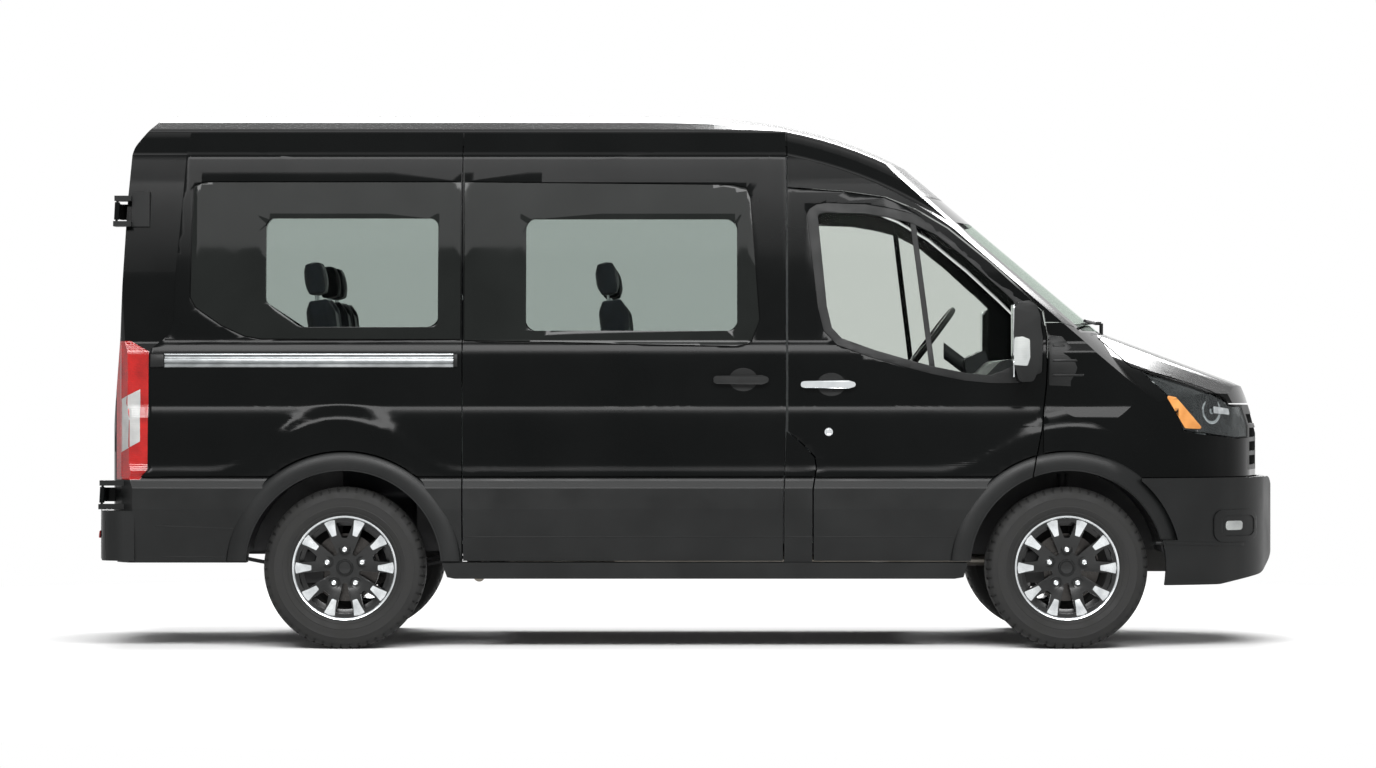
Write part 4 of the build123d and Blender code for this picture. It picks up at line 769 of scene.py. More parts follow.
CORNER_R = 28
QUARTER_CORNERS = [CORNER_R] * 2 + [2.0] * 2 + [60] * 3 + [CORNER_R] * 2
MIDDLE_CORNERS = {"right": [2.0] + [CORNER_R] * 6 + [2.0], "left": [2.0, CORNER_R, CORNER_R, 2.0]}
for word, side in SIDES.items():
    middle = SLIDING_GLASS if side == RIGHT else LEFT_MID_GLASS
    middle_name = "sliding_door_skin" if side == RIGHT else "left_mid_skin"
    quarter_hole = rounded([(min(x, -1040.5), z) for x, z in outset(QUARTER_GLASS, 5.0)], QUARTER_CORNERS)
    middle_hole = rounded([(max(x, -1025.5), z) for x, z in outset(middle, 5.0)], MIDDLE_CORNERS[word])
    side_panel(f"quarter_skin_{word}", side, QUARTER_PANEL, PAINT, "vehicle", [quarter_hole])
    side_panel(middle_name, side, SLIDING_PANEL, PAINT, "vehicle",
               [middle_hole] + ([oval(249, 1230)] if side == RIGHT else []))
    side_panel(f"corner_skin_{word}", side, CORNER_PANEL, PAINT, "vehicle")
    side_panel(f"wing_skin_{word}", side, WING_PANEL, PAINT, "vehicle")
    side_panel(f"front_door_skin_{word}", side, DOOR_PANEL, PAINT, f"{word}_front_door",
               [rounded(SURROUND, 14), oval(650, 1208)])
    # fired black bands round the clear part of each bonded pane
    clear = (QUARTER_CLEAR, SLIDING_CLEAR) if side == RIGHT else (LEFT_QUARTER_CLEAR, LEFT_MID_CLEAR)
    quarter_pane = rounded([(min(x, -1042), z) for x, z in QUARTER_GLASS], QUARTER_CORNERS)
    middle_pane = rounded([(max(x, -1024), z) for x, z in middle], MIDDLE_CORNERS[word])
    for label, pane_line, clear_line in (("quarter", quarter_pane, clear[0]),
                                         ("mid", middle_pane, clear[1])):
        side_panel(f"{label}_band_{word}", side, pane_line, FRIT, "vehicle",
                   [rounded(clear_line, 36)], lift=1.8, thick=1.2, edge=0.3)
    # satin frame and quarter-light bar of the front door
    door = f"{word}_front_door"
    side_panel(f"door_window_frame_{word}", side, rounded(outset(SURROUND, -2.0), 14), SEAL, door,
               [rounded(outset(DOOR_GLASS, -5.0), 16)], lift=2.0, thick=9.0, edge=1.5)
    bar = [(1012, 1962), (1038, 1954), (1124, 1276), (1098, 1283)]
    side_panel(f"quarter_light_bar_{word}", side, bar, SEAL, door, lift=-2.0, thick=8.0,
               edge=3.0)


# ---- wheel-arch flares ----
FLARE_LINE = [
    (446, 950), (446, 1022), (450, 1030), (460, 1033.5), (486, 1034.5), (516, 1030),
    (530, 1021), (537, 1008), (537, 950),
]
FLARE_BEND = [(1780, 0.0), (1950, 4.0), (2050, 30), (2330, 116)]
DOOR_EDGE_A, DOOR_EDGE_B = (1566, 792), (1607, 1010)


def flare(word, end, body, label, cuts):
    """Lip round a wheel arch; cuts are (place, normal, keep the side behind the normal)."""
    side = SIDES[word]
    obj = turned(rounded(FLARE_LINE, 2.0, 2), 120)
    stand(obj, (AXLES[end], 0, AXLE_Z), (0, side, 0))
    for place, normal, keep in cuts:
        sliced(obj, place, normal, keep)
    for vert in obj.data.vertices:
        vert.co.y -= side * between(vert.co.x / MM, FLARE_BEND) * MM
    smooth(obj, 40)
    piece(obj, f"{label}_{word}", GRAINED, body)
    return obj


slope_len = math.hypot(DOOR_EDGE_B[1] - DOOR_EDGE_A[1], DOOR_EDGE_B[0] - DOOR_EDGE_A[0])
EDGE_NORMAL = ((DOOR_EDGE_B[1] - DOOR_EDGE_A[1]) / slope_len, 0,
               -(DOOR_EDGE_B[0] - DOOR_EDGE_A[0]) / slope_len)
for word in SIDES:
    gap_a = (DOOR_EDGE_A[0] - 2.0, 0, DOOR_EDGE_A[1])
    gap_b = (DOOR_EDGE_A[0] + 5.0, 0, DOOR_EDGE_A[1])
    flare(word, "rear", "vehicle", "rear_flare", [((0, 0, 404), (0, 0, -1), True)])
    flare(word, "front", f"{word}_front_door", "door_flare", [((0, 0, 404), (0, 0, -1), True),
                                                             (gap_a, EDGE_NORMAL, True)])
    flare(word, "front", "vehicle", "wing_flare", [((0, 0, 500), (0, 0, -1), True),
                                                   (gap_b, EDGE_NORMAL, False)])

# ---- wheels: built face up about the upright axis, then stood at each corner ----
LUGS = 5
RIM_LINE = [
    (190, 20), (212, 22), (219, 40), (224, 66), (227, 82), (231, 88), (238, 90),
    (240, 86), (236, 80), (229, 62), (226, 20), (226, -84), (238, -86), (238, -92),
    (222, -92), (214, -70), (206, -20),
]
LIP_LINE = [(226.5, 82.5), (229, 86.5), (233, 90.2), (238.2, 91.6), (240.6, 89.4), (240, 87.5), (233, 88)]
DEEP = [(-9.0, 70), (9.0, 70), (24, 136), (42, 206), (0.0, 213), (-42, 206), (-24, 136)]
SHORT = [(-12, 137), (12, 137), (24, 165), (40, 206), (0.0, 213), (-40, 206), (-24, 165)]
TIP = [(-11, 152), (11, 152), (17, 186), (26, 222), (0.0, 226), (-26, 222), (-17, 186)]
FACE_DISH = [(0.0, 62), (84, 62), (110, 70), (160, 80), (200, 84), (226, 84)]


def fanned(loop, degrees):
    """Outline turned about the wheel centre."""
    c, s = math.cos(math.radians(degrees)), math.sin(math.radians(degrees))
    return [(x * c + y * s, y * c - x * s) for x, y in loop]


def dish(obj, lift=0.0):
    """Raises a flat wheel piece to the hollow face of the wheel."""
    for vert in obj.data.vertices:
        vert.co.z += (between(math.hypot(vert.co.x, vert.co.y) / MM, FACE_DISH) + lift) * MM


def wheel_face():
    """Cast spokes: ten fingers that meet in pairs at the bolts."""
    holes = [rounded(fanned(loop, first + 72 * k), 7.0, 3) for loop, first in ((DEEP, 36), (SHORT, 0.0))
             for k in range(LUGS)]
    obj = flat_sheet([(227 * math.cos(math.tau * k / 90),
                       227 * math.sin(math.tau * k / 90)) for k in range(90)],
                     holes)
    score(obj, spaced(-240, 240, 16), spaced(-240, 240, 16))
    face_out(obj, Vector((0, 0, 1)))
    dish(obj)
    thicken(obj, 34, 4.5, 3, 50)
    smooth(obj, 45)
    return obj


def wheel_tips():
    """Bright turned ends of the fingers."""
    tips = []
    for k in range(2 * LUGS):
        obj = flat_sheet(rounded(fanned(TIP, 18 + 36 * k), 4.0, 3))
        score(obj, spaced(-240, 240, 16), spaced(-240, 240, 16))
        face_out(obj, Vector((0, 0, 1)))
        dish(obj, 0.9)
        thicken(obj, 2.5)
        tips.append(obj)
    lip = turned(LIP_LINE, 120)
    obj = joined([lip] + tips)
    smooth(obj, 35)
    return obj


LUG_REACH = 84


def at_lug(obj, k, height=0.0):
    """Moves a piece from the wheel's middle out to one of its lugs."""
    turn = math.tau * k / LUGS
    obj.location = (LUG_REACH * MM * math.sin(turn), LUG_REACH * MM * math.cos(turn), height * MM)
    seat(obj)
    return obj


def wheel_hub():
    """Centre cap with its ring, and a cup for the bolt at each lug."""
    cap = turned([(0.0, 70), (20, 69.6), (27, 68.6), (29, 66.5), (31, 66.5), (33, 69), (36, 69.4),
                  (38, 67), (40, 58), (0.0, 58)], 48)
    parts = [cap]
    for k in range(LUGS):
        cup = turned([(12, 63), (21, 63), (24, 66.5), (27.5, 66.5), (29, 62), (29, 58), (12, 58)], 32)
        parts.append(at_lug(cup, k))
    obj = joined(parts)
    smooth(obj, 30)
    return obj


def wheel_bolts():
    """A bolt head in each cup."""
    parts = []
    for k in range(LUGS):
        deselect()
        bpy.ops.mesh.primitive_cylinder_add(vertices=6, radius=12.5 * MM, depth=16 * MM)
        bolt = bpy.context.object
        pick(bolt, "FACE", lambda c, n: n.z > 0.9)
        bpy.ops.mesh.inset(thickness=3.0 * MM, depth=2.2 * MM)
        bpy.ops.mesh.inset(thickness=3.0 * MM, depth=-2.6 * MM)
        out()
        modify(bolt, "BEVEL", width=0.8 * MM, segments=2)
        parts.append(at_lug(bolt, k, 70))
    obj = joined(parts)
    smooth(obj, 30)
    return obj


TYRE_LINE = [
    (229, 78), (238, 88), (243, 101), (250, 106), (254, 107.5), (256, 106.8), (262, 111),
    (276, 115.2), (280, 116.6), (283, 115.6), (300, 117.3), (316, 116.6), (319, 117.4), (322, 115.8),
    (336, 112), (346, 107.5), (356, 100), (363, 91), (367.5, 78), (369.4, 62), (369.6, 58),
    (362.5, 57), (362.5, 50), (369.8, 49), (370, 22), (362.5, 21), (362.5, 14), (370, 13),
]
SEGMENTS = 216


def tyre():
    """Carcass with rings on its side walls, three grooves round it and notched shoulder blocks."""
    line = TYRE_LINE + [(r, -w) for r, w in reversed(TYRE_LINE)] + [(240, -60), (262, -92), (300, -104),
                                                                    (350, -88), (356, 0.0), (350, 88),
                                                                    (300, 104), (262, 92), (240, 60)]
    obj = turned(line, SEGMENTS)

    def in_notch(centre, normal):
        r = math.hypot(centre.x, centre.y) / MM
        block = int(math.degrees(math.atan2(centre.y, centre.x)) / 360 * SEGMENTS + 1000 * SEGMENTS) % 4
        outside = normal.x * centre.x + normal.y * centre.y > 0 or abs(normal.z) > 0.5
        return block == 0 and r > 346 and 60 * MM < abs(centre.z) < 110 * MM and outside
    pick(obj, "FACE", in_notch)
    bpy.ops.mesh.extrude_region_shrink_fatten(TRANSFORM_OT_shrink_fatten={"value": -5.5 * MM})
    out()
    smooth(obj, 24)
    return obj


rim = turned(rounded(RIM_LINE, 2.0, 2), 96)
smooth(rim, 30)
masters = [
    ("tyre", tyre(), RUBBER, "tyre_rubber", "tyre"), ("barrel", rim, RIM_BLACK, "rim_alloy", "rim"),
    ("spokes", wheel_face(), RIM_BLACK, "rim_alloy", None), ("tips", wheel_tips(), TURNED, "rim_alloy",
                                                             None),
    ("hub", wheel_hub(), RIM_BLACK, "rim_alloy", None), ("bolts", wheel_bolts(), CHROME, "rim_alloy", None),
]
for label, master, mat, slot, node in masters:
    for word, side in SIDES.items():
        for end, x in AXLES.items():
            copy = stand(twin(master), (x, side * WHEEL_Y, AXLE_Z), (0, side, 0))
            piece(copy, f"wheel_{label}_{end}_{word}", mat, f"{word}_{end}_wheel")
            if node:
                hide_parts(f"{node}_{end}_{word}")
    bpy.data.objects.remove(master)


# ---- lamps ----
def shrunk_copy(node, inward_mm):
    """A CAD node's form, merged and drawn inward, for what lies behind its cover."""
    obj = nodes[node].copy()
    obj.data = nodes[node].data.copy()
    bpy.context.collection.objects.link(obj)
    obj.parent = None
    outward(obj, 0.05)
    modify(obj, "DECIMATE", ratio=0.5)
    edit(obj, "VERT")
    bpy.ops.object.mode_set(mode="EDIT")
    bpy.ops.mesh.select_all(action="SELECT")
    bpy.ops.transform.shrink_fatten(value=-inward_mm * MM)
    out()
    smooth(obj, 30)
    return obj


piece(shrunk_copy("headlights", 11), "headlamp_bowls",
      finish("smoked_lamp_bowl", "#1b1d1e", "#2a2c2d", (0.2, 0.3), 60, 8.0, 0.05), "vehicle")
RING_PLACE, RING_FACING = (2404, 806, 1088), (0.66, 0.76, 0.06)
RING_LINE = [(36, -16), (44, -4.0), (52, 2.0), (58, 3.0), (62, 1.0), (64, -6.0), (64, -20),
             (36, -20)]
BULB_LINE = [(0.0, 4.0), (14, 2.5), (26, -3.0), (34, -12), (35, -20), (0.0, -20)]
AMBER = [(2180, 1160), (2229, 1150), (2362, 1003), (2272, 1008)]
LAMP_BAR = [(2412, 1108), (2490, 1096), (2496, 1068), (2414, 1076)]
for word, side in SIDES.items():
    place = (RING_PLACE[0], side * RING_PLACE[1], RING_PLACE[2])
    facing = (RING_FACING[0], side * RING_FACING[1], RING_FACING[2])
    ring = stand(turned(RING_LINE, 72), place, facing)
    smooth(ring, 30)
    piece(ring, f"headlamp_ring_{word}", REFLECTOR, "vehicle")
    bulb = stand(turned(BULB_LINE, 48), place, facing)
    smooth(bulb, 40)
    piece(bulb, f"headlamp_projector_{word}", REFLECTOR, "vehicle")
    draped(f"headlamp_reflex_{word}", side, rounded(AMBER, 8.0), ["headlights", "front_wings"], AMBER_LENS,
           "vehicle", lift=0.9, thick=1.8, edge=0.5, step=18)
    draped(f"headlamp_blade_{word}", side, rounded(LAMP_BAR, 4.0), ["headlights"], REFLECTOR, "vehicle",
           lift=1.6, thick=2.6, edge=0.6, step=16)

TAIL_BAND = [(-2590, 1142), (-2500, 1186), (-2500, 948), (-2592, 898)]
for word, side in SIDES.items():
    draped(f"taillamp_band_{word}", side, TAIL_BAND, ["taillights"], CLEAR_LENS, "vehicle",
           lift=1.4,
           thick=2.6, edge=0.8, step=12)
    frame_line = [(-2596, 1404), (-2546, 1404), (-2464, 1357), (-2469, 821), (-2501, 777),
                  (-2596, 777)]
    inner = [(-2588, 1395), (-2548, 1395), (-2473, 1351), (-2477, 825), (-2505, 786),
             (-2588, 786)]
    draped(f"taillamp_rim_{word}", side, frame_line, ["taillights"], RED_LENS, "vehicle",
           [inner],
           lift=1.2, thick=2.4, edge=0.8, step=12)


# ---- bumper corners ----
def pill(w, h, r, dx=0.0, dz=0.0):
    """Outline of a rectangle with round corners, about its own middle."""
    return rounded([(dx - w / 2, dz - h / 2), (dx + w / 2, dz - h / 2), (dx + w / 2, dz + h / 2),
                    (dx - w / 2, dz + h / 2)], r)


FOG_OUT = pill(222, 146, 44, 2519, 559)
FOG_IN = pill(166, 96, 30, 2532, 559)
FOG_LENS = pill(84, 42, 14, 2510, 560)
BUMPER_LIP = [(2110, 478), (2240, 476), (2420, 470), (2560, 466), (2560, 478), (2420, 484),
              (2240, 490), (2110, 490)]
BUMPER_PIECES = [
    ("fog_bezel", FOG_OUT, GRAINED, "black_plastic", [FOG_IN], 7.0, 9.0, 2.4, 11),
    ("fog_bowl", FOG_IN, SEAL, "black_plastic", (), 0.8, 1.6, 0.3, 11),
    ("fog_lens", FOG_LENS, CLEAR_LENS, "lamp_clear", (), 5.0, 4.6, 1.5, 11),
    ("bumper_lip", BUMPER_LIP, GRAINED, "black_plastic", (), 3.2, 4.4, 1.6, 22),
]
for word, side in SIDES.items():
    for label, outline, mat, slot, holes, lift, thick, edge, step in BUMPER_PIECES:
        draped(f"{label}_{word}", side, outline, ["front_bumper"], mat, "vehicle", holes, lift, thick,
               edge,
               step)
    # tail bumper: towing-eye cap with its rim
    cap = turned([(0.0, 2.4), (34, 2.0), (41, 1.2), (43, -1.0), (46, -1.0), (48, 2.2), (52, 3.0),
                  (55, 2.0), (56, -6.0), (0.0, -6.0)], 64)
    smooth(cap, 30)
    piece(stand(cap, (-2400, side * 1018.5, 678), (0, side, 0)), f"tail_cap_{word}", GRAINED, "vehicle")

# ---- painted shade of the lines scored along the cladding: thin dark satin strips laid on it, no groove cut ----
SCORE_SHADE_LINES = [
    # name, node, body, low x, low z, high x, high z, width
    ("rear_score_upper", "right_side_panel", "vehicle", -2429, 564, -2072, 551, 6.0),
    ("rear_score_lower", "right_side_panel", "vehicle", -2400, 424, -2072, 420, 6.0),
    ("sliding_score", "sliding_door", "vehicle", -1020, 514, 424, 514, 6.0),
    ("corner_score", "right_side_panel", "vehicle", 436, 514, 564, 514, 6.0),
    ("door_score", "front_door_right", "front_door", 577, 514, 1210, 514, 6.0),
]
for label, node, body, x0, z0, x1, z1, width in SCORE_SHADE_LINES:
    for word, side in SIDES.items():
        on = [node.replace("right", word)] if node != "sliding_door" else ["sliding_door",
                                                                           "left_side_panel"]
        line = [(x0, z0 - width / 2), (x1, z1 - width / 2), (x1, z1 + width / 2), (x0, z0 + width / 2)]
        rides = f"{word}_{body}" if body == "front_door" else body
        # each strip is the darker, matt satin seal material over the cladding: painted shade where a scored
        # groove would be
        draped(f"{label}_{word}", side, line, on, SEAL, rides, lift=0.7, thick=1.6,
               edge=0.3,
               step=60)

# ---- sliding-door rail: a drawn channel with two bright lips ----
RAIL_X0, RAIL_X1 = -2388, -1072
RAIL_SECTION = [
    (990, 1286), (1008, 1286), (1010.5, 1289), (1010.5, 1300), (1007, 1303), (1007, 1305),
    (1015.5, 1308), (1016.5, 1311), (1016.5, 1322), (1014.5, 1325), (1004, 1327), (1003, 1330),
    (1003, 1338), (1012, 1341), (1014, 1344), (1013, 1348), (990, 1348),
]


def along_x(section, side, x0, x1, edge):
    """Bar of one section, across against height, that runs from x0 to x1."""
    obj = slab([(side * y, z) for y, z in section], x1 - x0, edge)
    return stand(obj, (x1, 0, 0), (1, 0, 0))


rail = along_x(RAIL_SECTION, RIGHT, RAIL_X0, RAIL_X1, 0.6)
piece(rail, "rail_channel", ANODISED, "vehicle")
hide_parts("sliding_door_rail")
for label, x0, x1 in (("rear", -2452, RAIL_X0 - 2.0), ("front", RAIL_X1 + 1.0, -1053)):
    stop = along_x([(990, 1284), (1013, 1286), (1017, 1292), (1017, 1342), (1013, 1349),
                    (990, 1350)], RIGHT, x0, x1, 3.0)
    piece(stop, f"rail_stop_{label}", SEAL, "vehicle")


# ---- handles ----
def handle(word, name, x0, x1, z0, z1, oval_x, oval_z, mat, body):
    """Pull handle on two feet over a hollow pressed in the door."""
    side = SIDES[word]
    skin = side_form((x0 + x1) / 2, (z0 + z1) / 2) + LIFT - 6.0
    mid = (z0 + z1) / 2
    h = z1 - z0
    line = [(x0, mid - h * 0.30), (x0 + 16, z0 + 3), (x1 - 30, z0), (x1, mid - h * 0.25),
            (x1, mid + h * 0.25),
            (x1 - 30, z1), (x0 + 16, z1 - 3), (x0, mid + h * 0.30)]
    bar = side_slab(side, rounded(line, 12), skin + 40, 17, 6.5)
    for vert in bar.data.vertices:
        u = (vert.co.x / MM - (x0 + x1) / 2) / ((x1 - x0) / 2)
        vert.co.y -= side * 11 * MM * u * u
    feet = [side_slab(side, rounded([(x, mid - 13), (x + 34, mid - 13), (x + 34, mid + 13), (x, mid + 13)],
                                    9.0),
                      skin + 26, 28, 3.0) for x in (x0 + 6, x1 - 42)]
    piece(joined([bar] + feet), f"{name}_{word}", mat, body)
    bowl = flat_sheet(oval(oval_x, oval_z, 3.0))
    score(bowl, spaced(oval_x - 70, oval_x + 70, 9.0), spaced(oval_z - 60, oval_z + 60, 9.0))
    for vert in bowl.data.vertices:
        x, z = vert.co.x / MM, vert.co.y / MM
        reach = min(1.0, math.hypot((x - oval_x) / OVAL_A, (z - oval_z) / OVAL_B))
        vert.co = (vert.co.x, side * (side_form(x, z) + LIFT + 0.5 - 1.2 * (1.0 - reach ** 4)) * MM,
                   vert.co.y)
    face_out(bowl, Vector((0, side, 0)))
    thicken(bowl, 0.4)
    smooth(bowl, 60)
    piece(bowl, f"{name}_hollow_{word}", SEAL, body)


handle("right", "sliding_handle", 113, 364, 1208, 1251, 249, 1230, SEAL, "vehicle")
for word, side in SIDES.items():
    handle(word, "door_handle", 511, 760, 1190, 1226, 650, 1208, CHROME, f"{word}_front_door")
    lock = turned([(0.0, 3.0), (9.0, 2.8), (10, 1.8), (11.5, 1.8), (12.5, 3.6), (16, 3.8), (18.5, 2.0),
                   (18.5, -2.0), (0.0, -2.0)], 48)
    smooth(lock, 30)
    piece(stand(lock, (638, side * (side_form(638, 992) + LIFT), 992), (0, side, 0)), f"door_lock_{word}",
          CHROME, f"{word}_front_door")

# ---- mirrors ----
MIRROR_CASE = [(1492, 1217), (1556, 1222), (1584, 1290), (1590, 1400), (1586, 1520),
               (1566, 1568), (1536, 1588), (1490, 1582), (1470, 1552), (1466, 1440),
               (1470, 1290)]
INDICATOR = [(1466, 1296), (1528, 1292), (1540, 1330), (1538, 1412), (1506, 1424), (1468, 1420)]
for word, side in SIDES.items():
    body = f"{word}_front_door"
    case = side_slab(side, rounded(MIRROR_CASE, 22), 1232, 188, 20)
    arm = side_slab(side, rounded([(1486, 1292), (1566, 1292), (1556, 1343), (1494, 1343)], 8.0),
                    1060, 78, 6.0)
    foot = side_slab(side, rounded([(1502, 1262), (1582, 1262), (1596, 1380), (1508, 1400)], 12),
                     1003, 26, 7.0)
    shell = piece(joined([case, arm, foot]), f"mirror_case_{word}", GRAINED, body)
    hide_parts(f"mirror_{word}")
    piece(side_slab(side, rounded(INDICATOR, 10), 1234.6, 8.0, 2.4), f"mirror_indicator_{word}", CLEAR_LENS,
          body)
    for label, z0, z1 in (("main", 1334, 1568), ("wide", 1234, 1322)):
        line = [(-side * 1062, z0), (-side * 1218, z0 + 4), (-side * 1222, z1), (-side * 1058, z1)]
        glass = stand(slab(rounded(line, 16), 5.0, 1.2), (1465.2, 0, 0), (-1, 0, 0))
        piece(glass, f"mirror_glass_{label}_{word}", CHROME, body)

# ---- wing corner trim with its three ribs ----
TRIM = [(1646, 1432), (1702, 1428), (1905, 1192), (1643, 1204)]
for word, side in SIDES.items():
    side_panel(f"wing_trim_{word}", side, rounded(TRIM, 6.0), GRAINED, "vehicle", lift=5.4,
               thick=2.6, edge=0.8)
    for k, (x_end, z) in enumerate(((1718, 1388), (1775, 1318), (1836, 1250))):
        rib = [(1660, z - 5.0), (x_end, z - 5.0), (x_end - 8.0, z + 5.0), (1660, z + 5.0)]
        side_panel(f"wing_trim_rib{k}_{word}", side, rib, GRAINED, "vehicle", lift=9.0,
                   thick=4.4,
                   edge=1.4)

# ---- rear doors ----
# the tail leans forward by LEAN_BY over a rise of LEAN_RISE; BEHIND is clear of everything at the back
LEAN_BY, LEAN_RISE, BEHIND = 50, 520, -3500
LEAN = math.hypot(LEAN_BY, LEAN_RISE)
REAR_FACING = (-LEAN_RISE / LEAN, 0.0, LEAN_BY / LEAN)


def rear_slab(name, outline, y, z, thick, edge, mat, body, on, proud=0.0, holes=(), probe=(0, 0)):
    """Plate on the tail; its outline is about its own middle; the probe is where its depth is measured."""
    far = met(on, (BEHIND, y + probe[0], z + probe[1]), (1, 0, 0))
    far -= probe[1] * LEAN_BY / LEAN_RISE
    obj = slab([(-a, b) for a, b in outline], thick, edge, [[(-a, b) for a, b in hole] for hole in holes])
    return piece(stand(obj, (BEHIND + far - proud, y, z), REAR_FACING), name, mat, body)


TAIL_PIECES = [
    # name, outline, y, z, thickness, edge, material, side, slot, how far proud, holes
    ("plate_holder", pill(352, 196, 12), 400, 1010, 6.0, 1.6, SEAL, "left", "black_plastic", 4.0,
     [pill(306, 152, 6)]),
    ("blank_plate", pill(302, 148, 10), 400, 1010, 3.0, 0.6, PLATE, "left", "paint", 1.6, ()),
    ("plate_lamp", pill(210, 26, 9), 400, 1126, 16, 4.0, SEAL, "left", "black_plastic", 13, ()),
    ("tail_handle_hollow", pill(96, 176, 30), -84, 1080, 4.0, 1.2, SEAL, "right", "black_plastic", 2.0, ()),
    ("tail_handle", pill(44, 150, 16), -84, 1080, 14, 5.0, GRAINED, "right", "black_plastic", 26, ()),
    ("tail_handle_foot", pill(26, 120, 10), -84, 1080, 14, 2.0, SEAL, "right", "black_plastic", 13, ()),
]
for label, outline, y, z, thick, edge, mat, word, slot, proud, holes in TAIL_PIECES:
    rear_slab(label, outline, y, z, thick, edge, mat, f"{word}_rear_door", [f"rear_door_{word}"],
              proud, holes)
SEAL_OUT = [(112, 2088), (741, 2088), (808, 1472), (112, 1472)]
SEAL_IN = [(150, 2050), (705, 2050), (765, 1510), (150, 1510)]
SEAL_Y, SEAL_Z = 455, 1780
for word, side in SIDES.items():
    rear_slab(f"tail_reflex_{word}", pill(120, 34, 12), side * 760, 520, 6.0, 1.6, RED_LENS, "vehicle",
              ["rear_bumper"], 3.0)
    ring, hole = ([(side * (a - SEAL_Y), b - SEAL_Z) for a, b in loop] for loop in (SEAL_OUT, SEAL_IN))
    rear_slab(f"tail_glass_seal_{word}", ring, side * SEAL_Y, SEAL_Z, 3.0, 1.0, SEAL, f"{word}_rear_door",
              [f"rear_door_{word}"], 2.0, [hole], (0, -340))


# ---- seats: foam pads under woven cloth ----
VOXEL, SWELL = 11, 24
SIM_FRAMES = 20


def swollen(obj):
    """Closes the cover over its foam: cloth blown up a little, each point held to a short travel."""
    modify(obj, "REMESH", mode="VOXEL", voxel_size=VOXEL * MM)
    rest = [vert.co.copy() for vert in obj.data.vertices]
    only(obj)
    cloth = obj.modifiers.new("cover", "CLOTH")
    cloth.settings.use_pressure = True
    cloth.settings.uniform_pressure_force = 4.0
    cloth.settings.effector_weights.gravity = 0.0
    for step in range(1, SIM_FRAMES + 1):
        bpy.context.scene.frame_set(step)
    bpy.ops.object.modifier_apply(modifier=cloth.name)
    bpy.context.scene.frame_set(1)
    for vert, home in zip(obj.data.vertices, rest):
        move = vert.co - home
        if move.length > SWELL * MM:
            vert.co = home + move.normalized() * SWELL * MM


# sewn lines: where a bolster's lies across the pad, how deep they pull in, and how wide
BOLSTER_SEAM, SEAM_DEPTH, SEAM_WIDTH = 0.62, 5.0, 9.0


def pad(size, bolster, channels):
    """Foam pad, sitting face up: width across, length along y; bolsters at its sides, sewn channels."""
    deselect()
    bpy.ops.mesh.primitive_cube_add(size=1.0)
    obj = bpy.context.object
    obj.scale = [value * MM for value in size]
    seat(obj)
    pick(obj, "FACE", lambda c, n: True)
    bpy.ops.mesh.subdivide(number_cuts=9)
    out()
    half = [value * MM / 2 for value in size]
    for vert in obj.data.vertices:
        u, v, w = (vert.co[i] / half[i] for i in range(3))
        vert.co.z *= 1.0 + 0.14 * (1.0 - u * u) * (1.0 - v * v)
        vert.co.x *= 1.0 - 0.05 * (1.0 - v * v) - 0.04 * (1.0 - w * w)
        vert.co.y *= 1.0 - 0.04 * (1.0 - u * u)
        if w > 0:
            vert.co.z += bolster * MM * ease((abs(u) - 0.5) / 0.35)
    swollen(obj)
    normals = [vert.normal.copy() for vert in obj.data.vertices]
    for vert, normal in zip(obj.data.vertices, normals):
        if normal.z < 0.3:
            continue
        v = vert.co.y / half[1]
        u = abs(vert.co.x) / half[0]
        near = min([abs(v - c) * half[1] / MM for c in channels if u < BOLSTER_SEAM]
                   + [abs(u - BOLSTER_SEAM) * half[0] / MM])
        vert.co -= normal * SEAM_DEPTH * MM * math.exp(-(near / SEAM_WIDTH) ** 2)
    return obj


SEAT_PARTS = [
    # label, size, centre along and above the seat's foot, facing, up
    ("cushion", (470, 480, 84), (230, 60), (0, 0, 1), (1, 0, 0), 14, (-0.35, 0.2)),
    ("back", (466, 632, 76), (-28, 392), (0.99, 0, 0.141), (0, 0, 1), 16, (-0.45, -0.05, 0.4)),
    ("headrest", (232, 150, 74), (-88, 792), (0.99, 0, 0.141), (0, 0, 1), 0.0, ()),
]
SEAT_PLACES = [("cab", 560, y, 830, 500) for y in (430, -430)] + [
    (f"row{row}", x, y, 905, 420) for row, x in enumerate((-1640, -965, -290)) for y in (-600, 190, 620)
]
FLOOR_TOP = 480
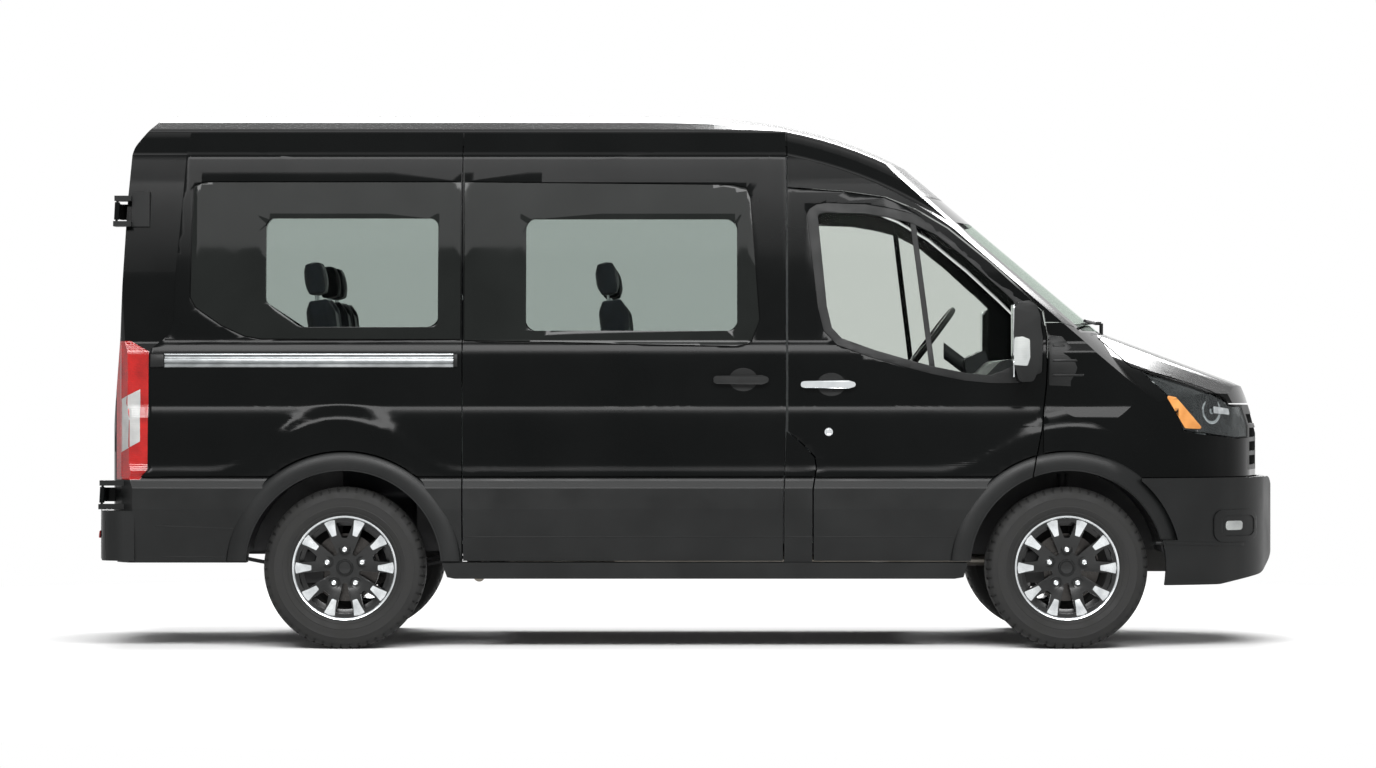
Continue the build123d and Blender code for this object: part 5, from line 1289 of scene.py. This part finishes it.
# the pads are modelled for the cab's seats; the rows' are narrower
CAB_WIDTH, PLINTH_INSET, PLINTH_BACK, PLINTH_FRONT = 500, 60, 40, 390
pads = []
for label, size, centre, facing, up, bolster, channels in SEAT_PARTS:
    master = pad(size, bolster, channels)
    pads.append((label, stand(master, (centre[0], 0, centre[1]), facing, up)))
for index, (row, x, y, base, width) in enumerate(SEAT_PLACES):
    share = width / CAB_WIDTH
    for label, master in pads:
        copy = twin(master)
        copy.scale = (1, share, 1)
        copy.location = (x * MM, y * MM, base * MM)
        seat(copy)
        if row != "cab":
            modify(copy, "DECIMATE", ratio=0.6)
        smooth(copy, 80)
        piece(copy, f"seat_{label}_{row}_{index}", CLOTH, "vehicle")
        if label == "cushion" and index in (0, 2):
            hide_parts("front_seats" if index == 0 else "passenger_seats")
    stems = [tube([(x - 80, y + dy, base + 640), (x - 86, y + dy, base + 735)], 6.0) for dy in (-54, 54)]
    piece(joined(stems), f"seat_stems_{row}_{index}", CHROME, "vehicle")
    half = width / 2 - PLINTH_INSET
    foot = rounded([(x + PLINTH_BACK, y - half), (x + PLINTH_FRONT, y - half), (x + PLINTH_FRONT, y + half),
                    (x + PLINTH_BACK, y + half)], 30)
    plinth = slab(foot, base + 16 - FLOOR_TOP - 0.5, 4.0)
    pick(plinth, "FACE", lambda c, n: abs(n.z) < 0.3)
    bpy.ops.mesh.inset(thickness=18 * MM, depth=-6 * MM, use_outset=False)
    out()
    plinth.location = (0, 0, (base + 16) * MM)
    seat(plinth)
    piece(plinth, f"seat_plinth_{row}_{index}", CABIN, "vehicle")
for _, master in pads:
    bpy.data.objects.remove(master)


# ---- studio ----
FLOOR_SIZE = 120
# metres from the middle between which the paper floor fades to plain white
PAPER_FADE = {"From Min": 3.4, "From Max": 7.0, "To Min": 0.0, "To Max": 1.0}


def seen_directly(tree):
    """1 for the camera, for mirror reflections and for what shows through glass; 0 for the light it gives."""
    path = add(tree, "LightPath").outputs
    seen = add(tree, "Math", [(path["Is Camera Ray"], 0), (path["Is Glossy Ray"], 1)], operation="MAXIMUM")
    return add(tree, "Math", [(seen.outputs[0], 0), (path["Is Transmission Ray"], 1)],
               operation="MAXIMUM").outputs[0]


floor_mat, tree, place = start("studio_paper")
far = add(tree, "VectorMath", [(place, 0)], operation="LENGTH").outputs["Value"]
fade = add(tree, "MapRange", [(far, "Value")], PAPER_FADE).outputs["Result"]
fibre = grain(tree, place, 30, 3.0)
pulp = add(tree, "Mix", [(fibre, "Factor")], {"A": linear("#f2f2f2"), "B": linear("#f6f6f6")},
           data_type="RGBA")
paper = add(tree, "BsdfDiffuse", [(pulp.outputs["Result"], "Color")])
bright = add(tree, "Emission", sockets={"Color": (1, 1, 1, 1), "Strength": 1.0})
share = add(tree, "Math", [(seen_directly(tree), 0), (fade, 1)], operation="MULTIPLY")
both = add(tree, "MixShader", [(share.outputs[0], 0), (paper.outputs[0], 1), (bright.outputs[0], 2)])
add(tree, "OutputMaterial", [(both.outputs[0], "Surface")])
deselect()
bpy.ops.mesh.primitive_plane_add(size=FLOOR_SIZE, location=(0, 0, 0))
floor = bpy.context.object
floor.name = "studio_floor"
floor.data.materials.append(floor_mat)

world = bpy.data.worlds.new("studio")
bpy.context.scene.world = world
world.use_nodes = True
tree = world.node_tree
tree.nodes.clear()
soft = add(tree, "Background", sockets={"Color": (1, 1, 1, 1), "Strength": 0.3})
white = add(tree, "Background", sockets={"Color": (1, 1, 1, 1), "Strength": 1.0})
both = add(tree, "MixShader", [(seen_directly(tree), 0), (soft.outputs[0], 1), (white.outputs[0], 2)])
add(tree, "OutputWorld", [(both.outputs[0], "Surface")])


def lamp(name, place, aim, size, power):
    """Soft box: a rectangular area lamp that looks at a point; metres and watts."""
    data = bpy.data.lights.new(name, "AREA")
    data.shape = "RECTANGLE"
    data.size, data.size_y = size
    data.energy = power
    obj = bpy.data.objects.new(name, data)
    bpy.context.collection.objects.link(obj)
    obj.location = place
    obj.rotation_euler = (Vector(aim) - Vector(place)).to_track_quat("-Z", "Y").to_euler()


lamp("overhead_softbox", (0, 0, 6.6), (0, 0, 0), (9.0, 3.6), 150)
for facing_side in (-1, 1):
    lamp("wide_softbox", (0, 7.8 * facing_side, 5.7), (0, 0, 1.2), (9.6, 3.0), 340)
    lamp("strip_softbox", (0, 7.8 * facing_side, 5.6), (0, 0, 1.2), (9.6, 1.8), 980)

camera_data = bpy.data.cameras.new("camera")
camera_data.lens = 123.6
camera_data.sensor_width = 36
camera_data.clip_end = 200
camera = bpy.data.objects.new("camera", camera_data)
bpy.context.collection.objects.link(camera)
camera.location = (-0.003, -22.53, 1.21)
camera.rotation_euler = (math.radians(90), 0, 0)
bpy.context.scene.camera = camera
bpy.context.scene.view_settings.view_transform = "Standard"
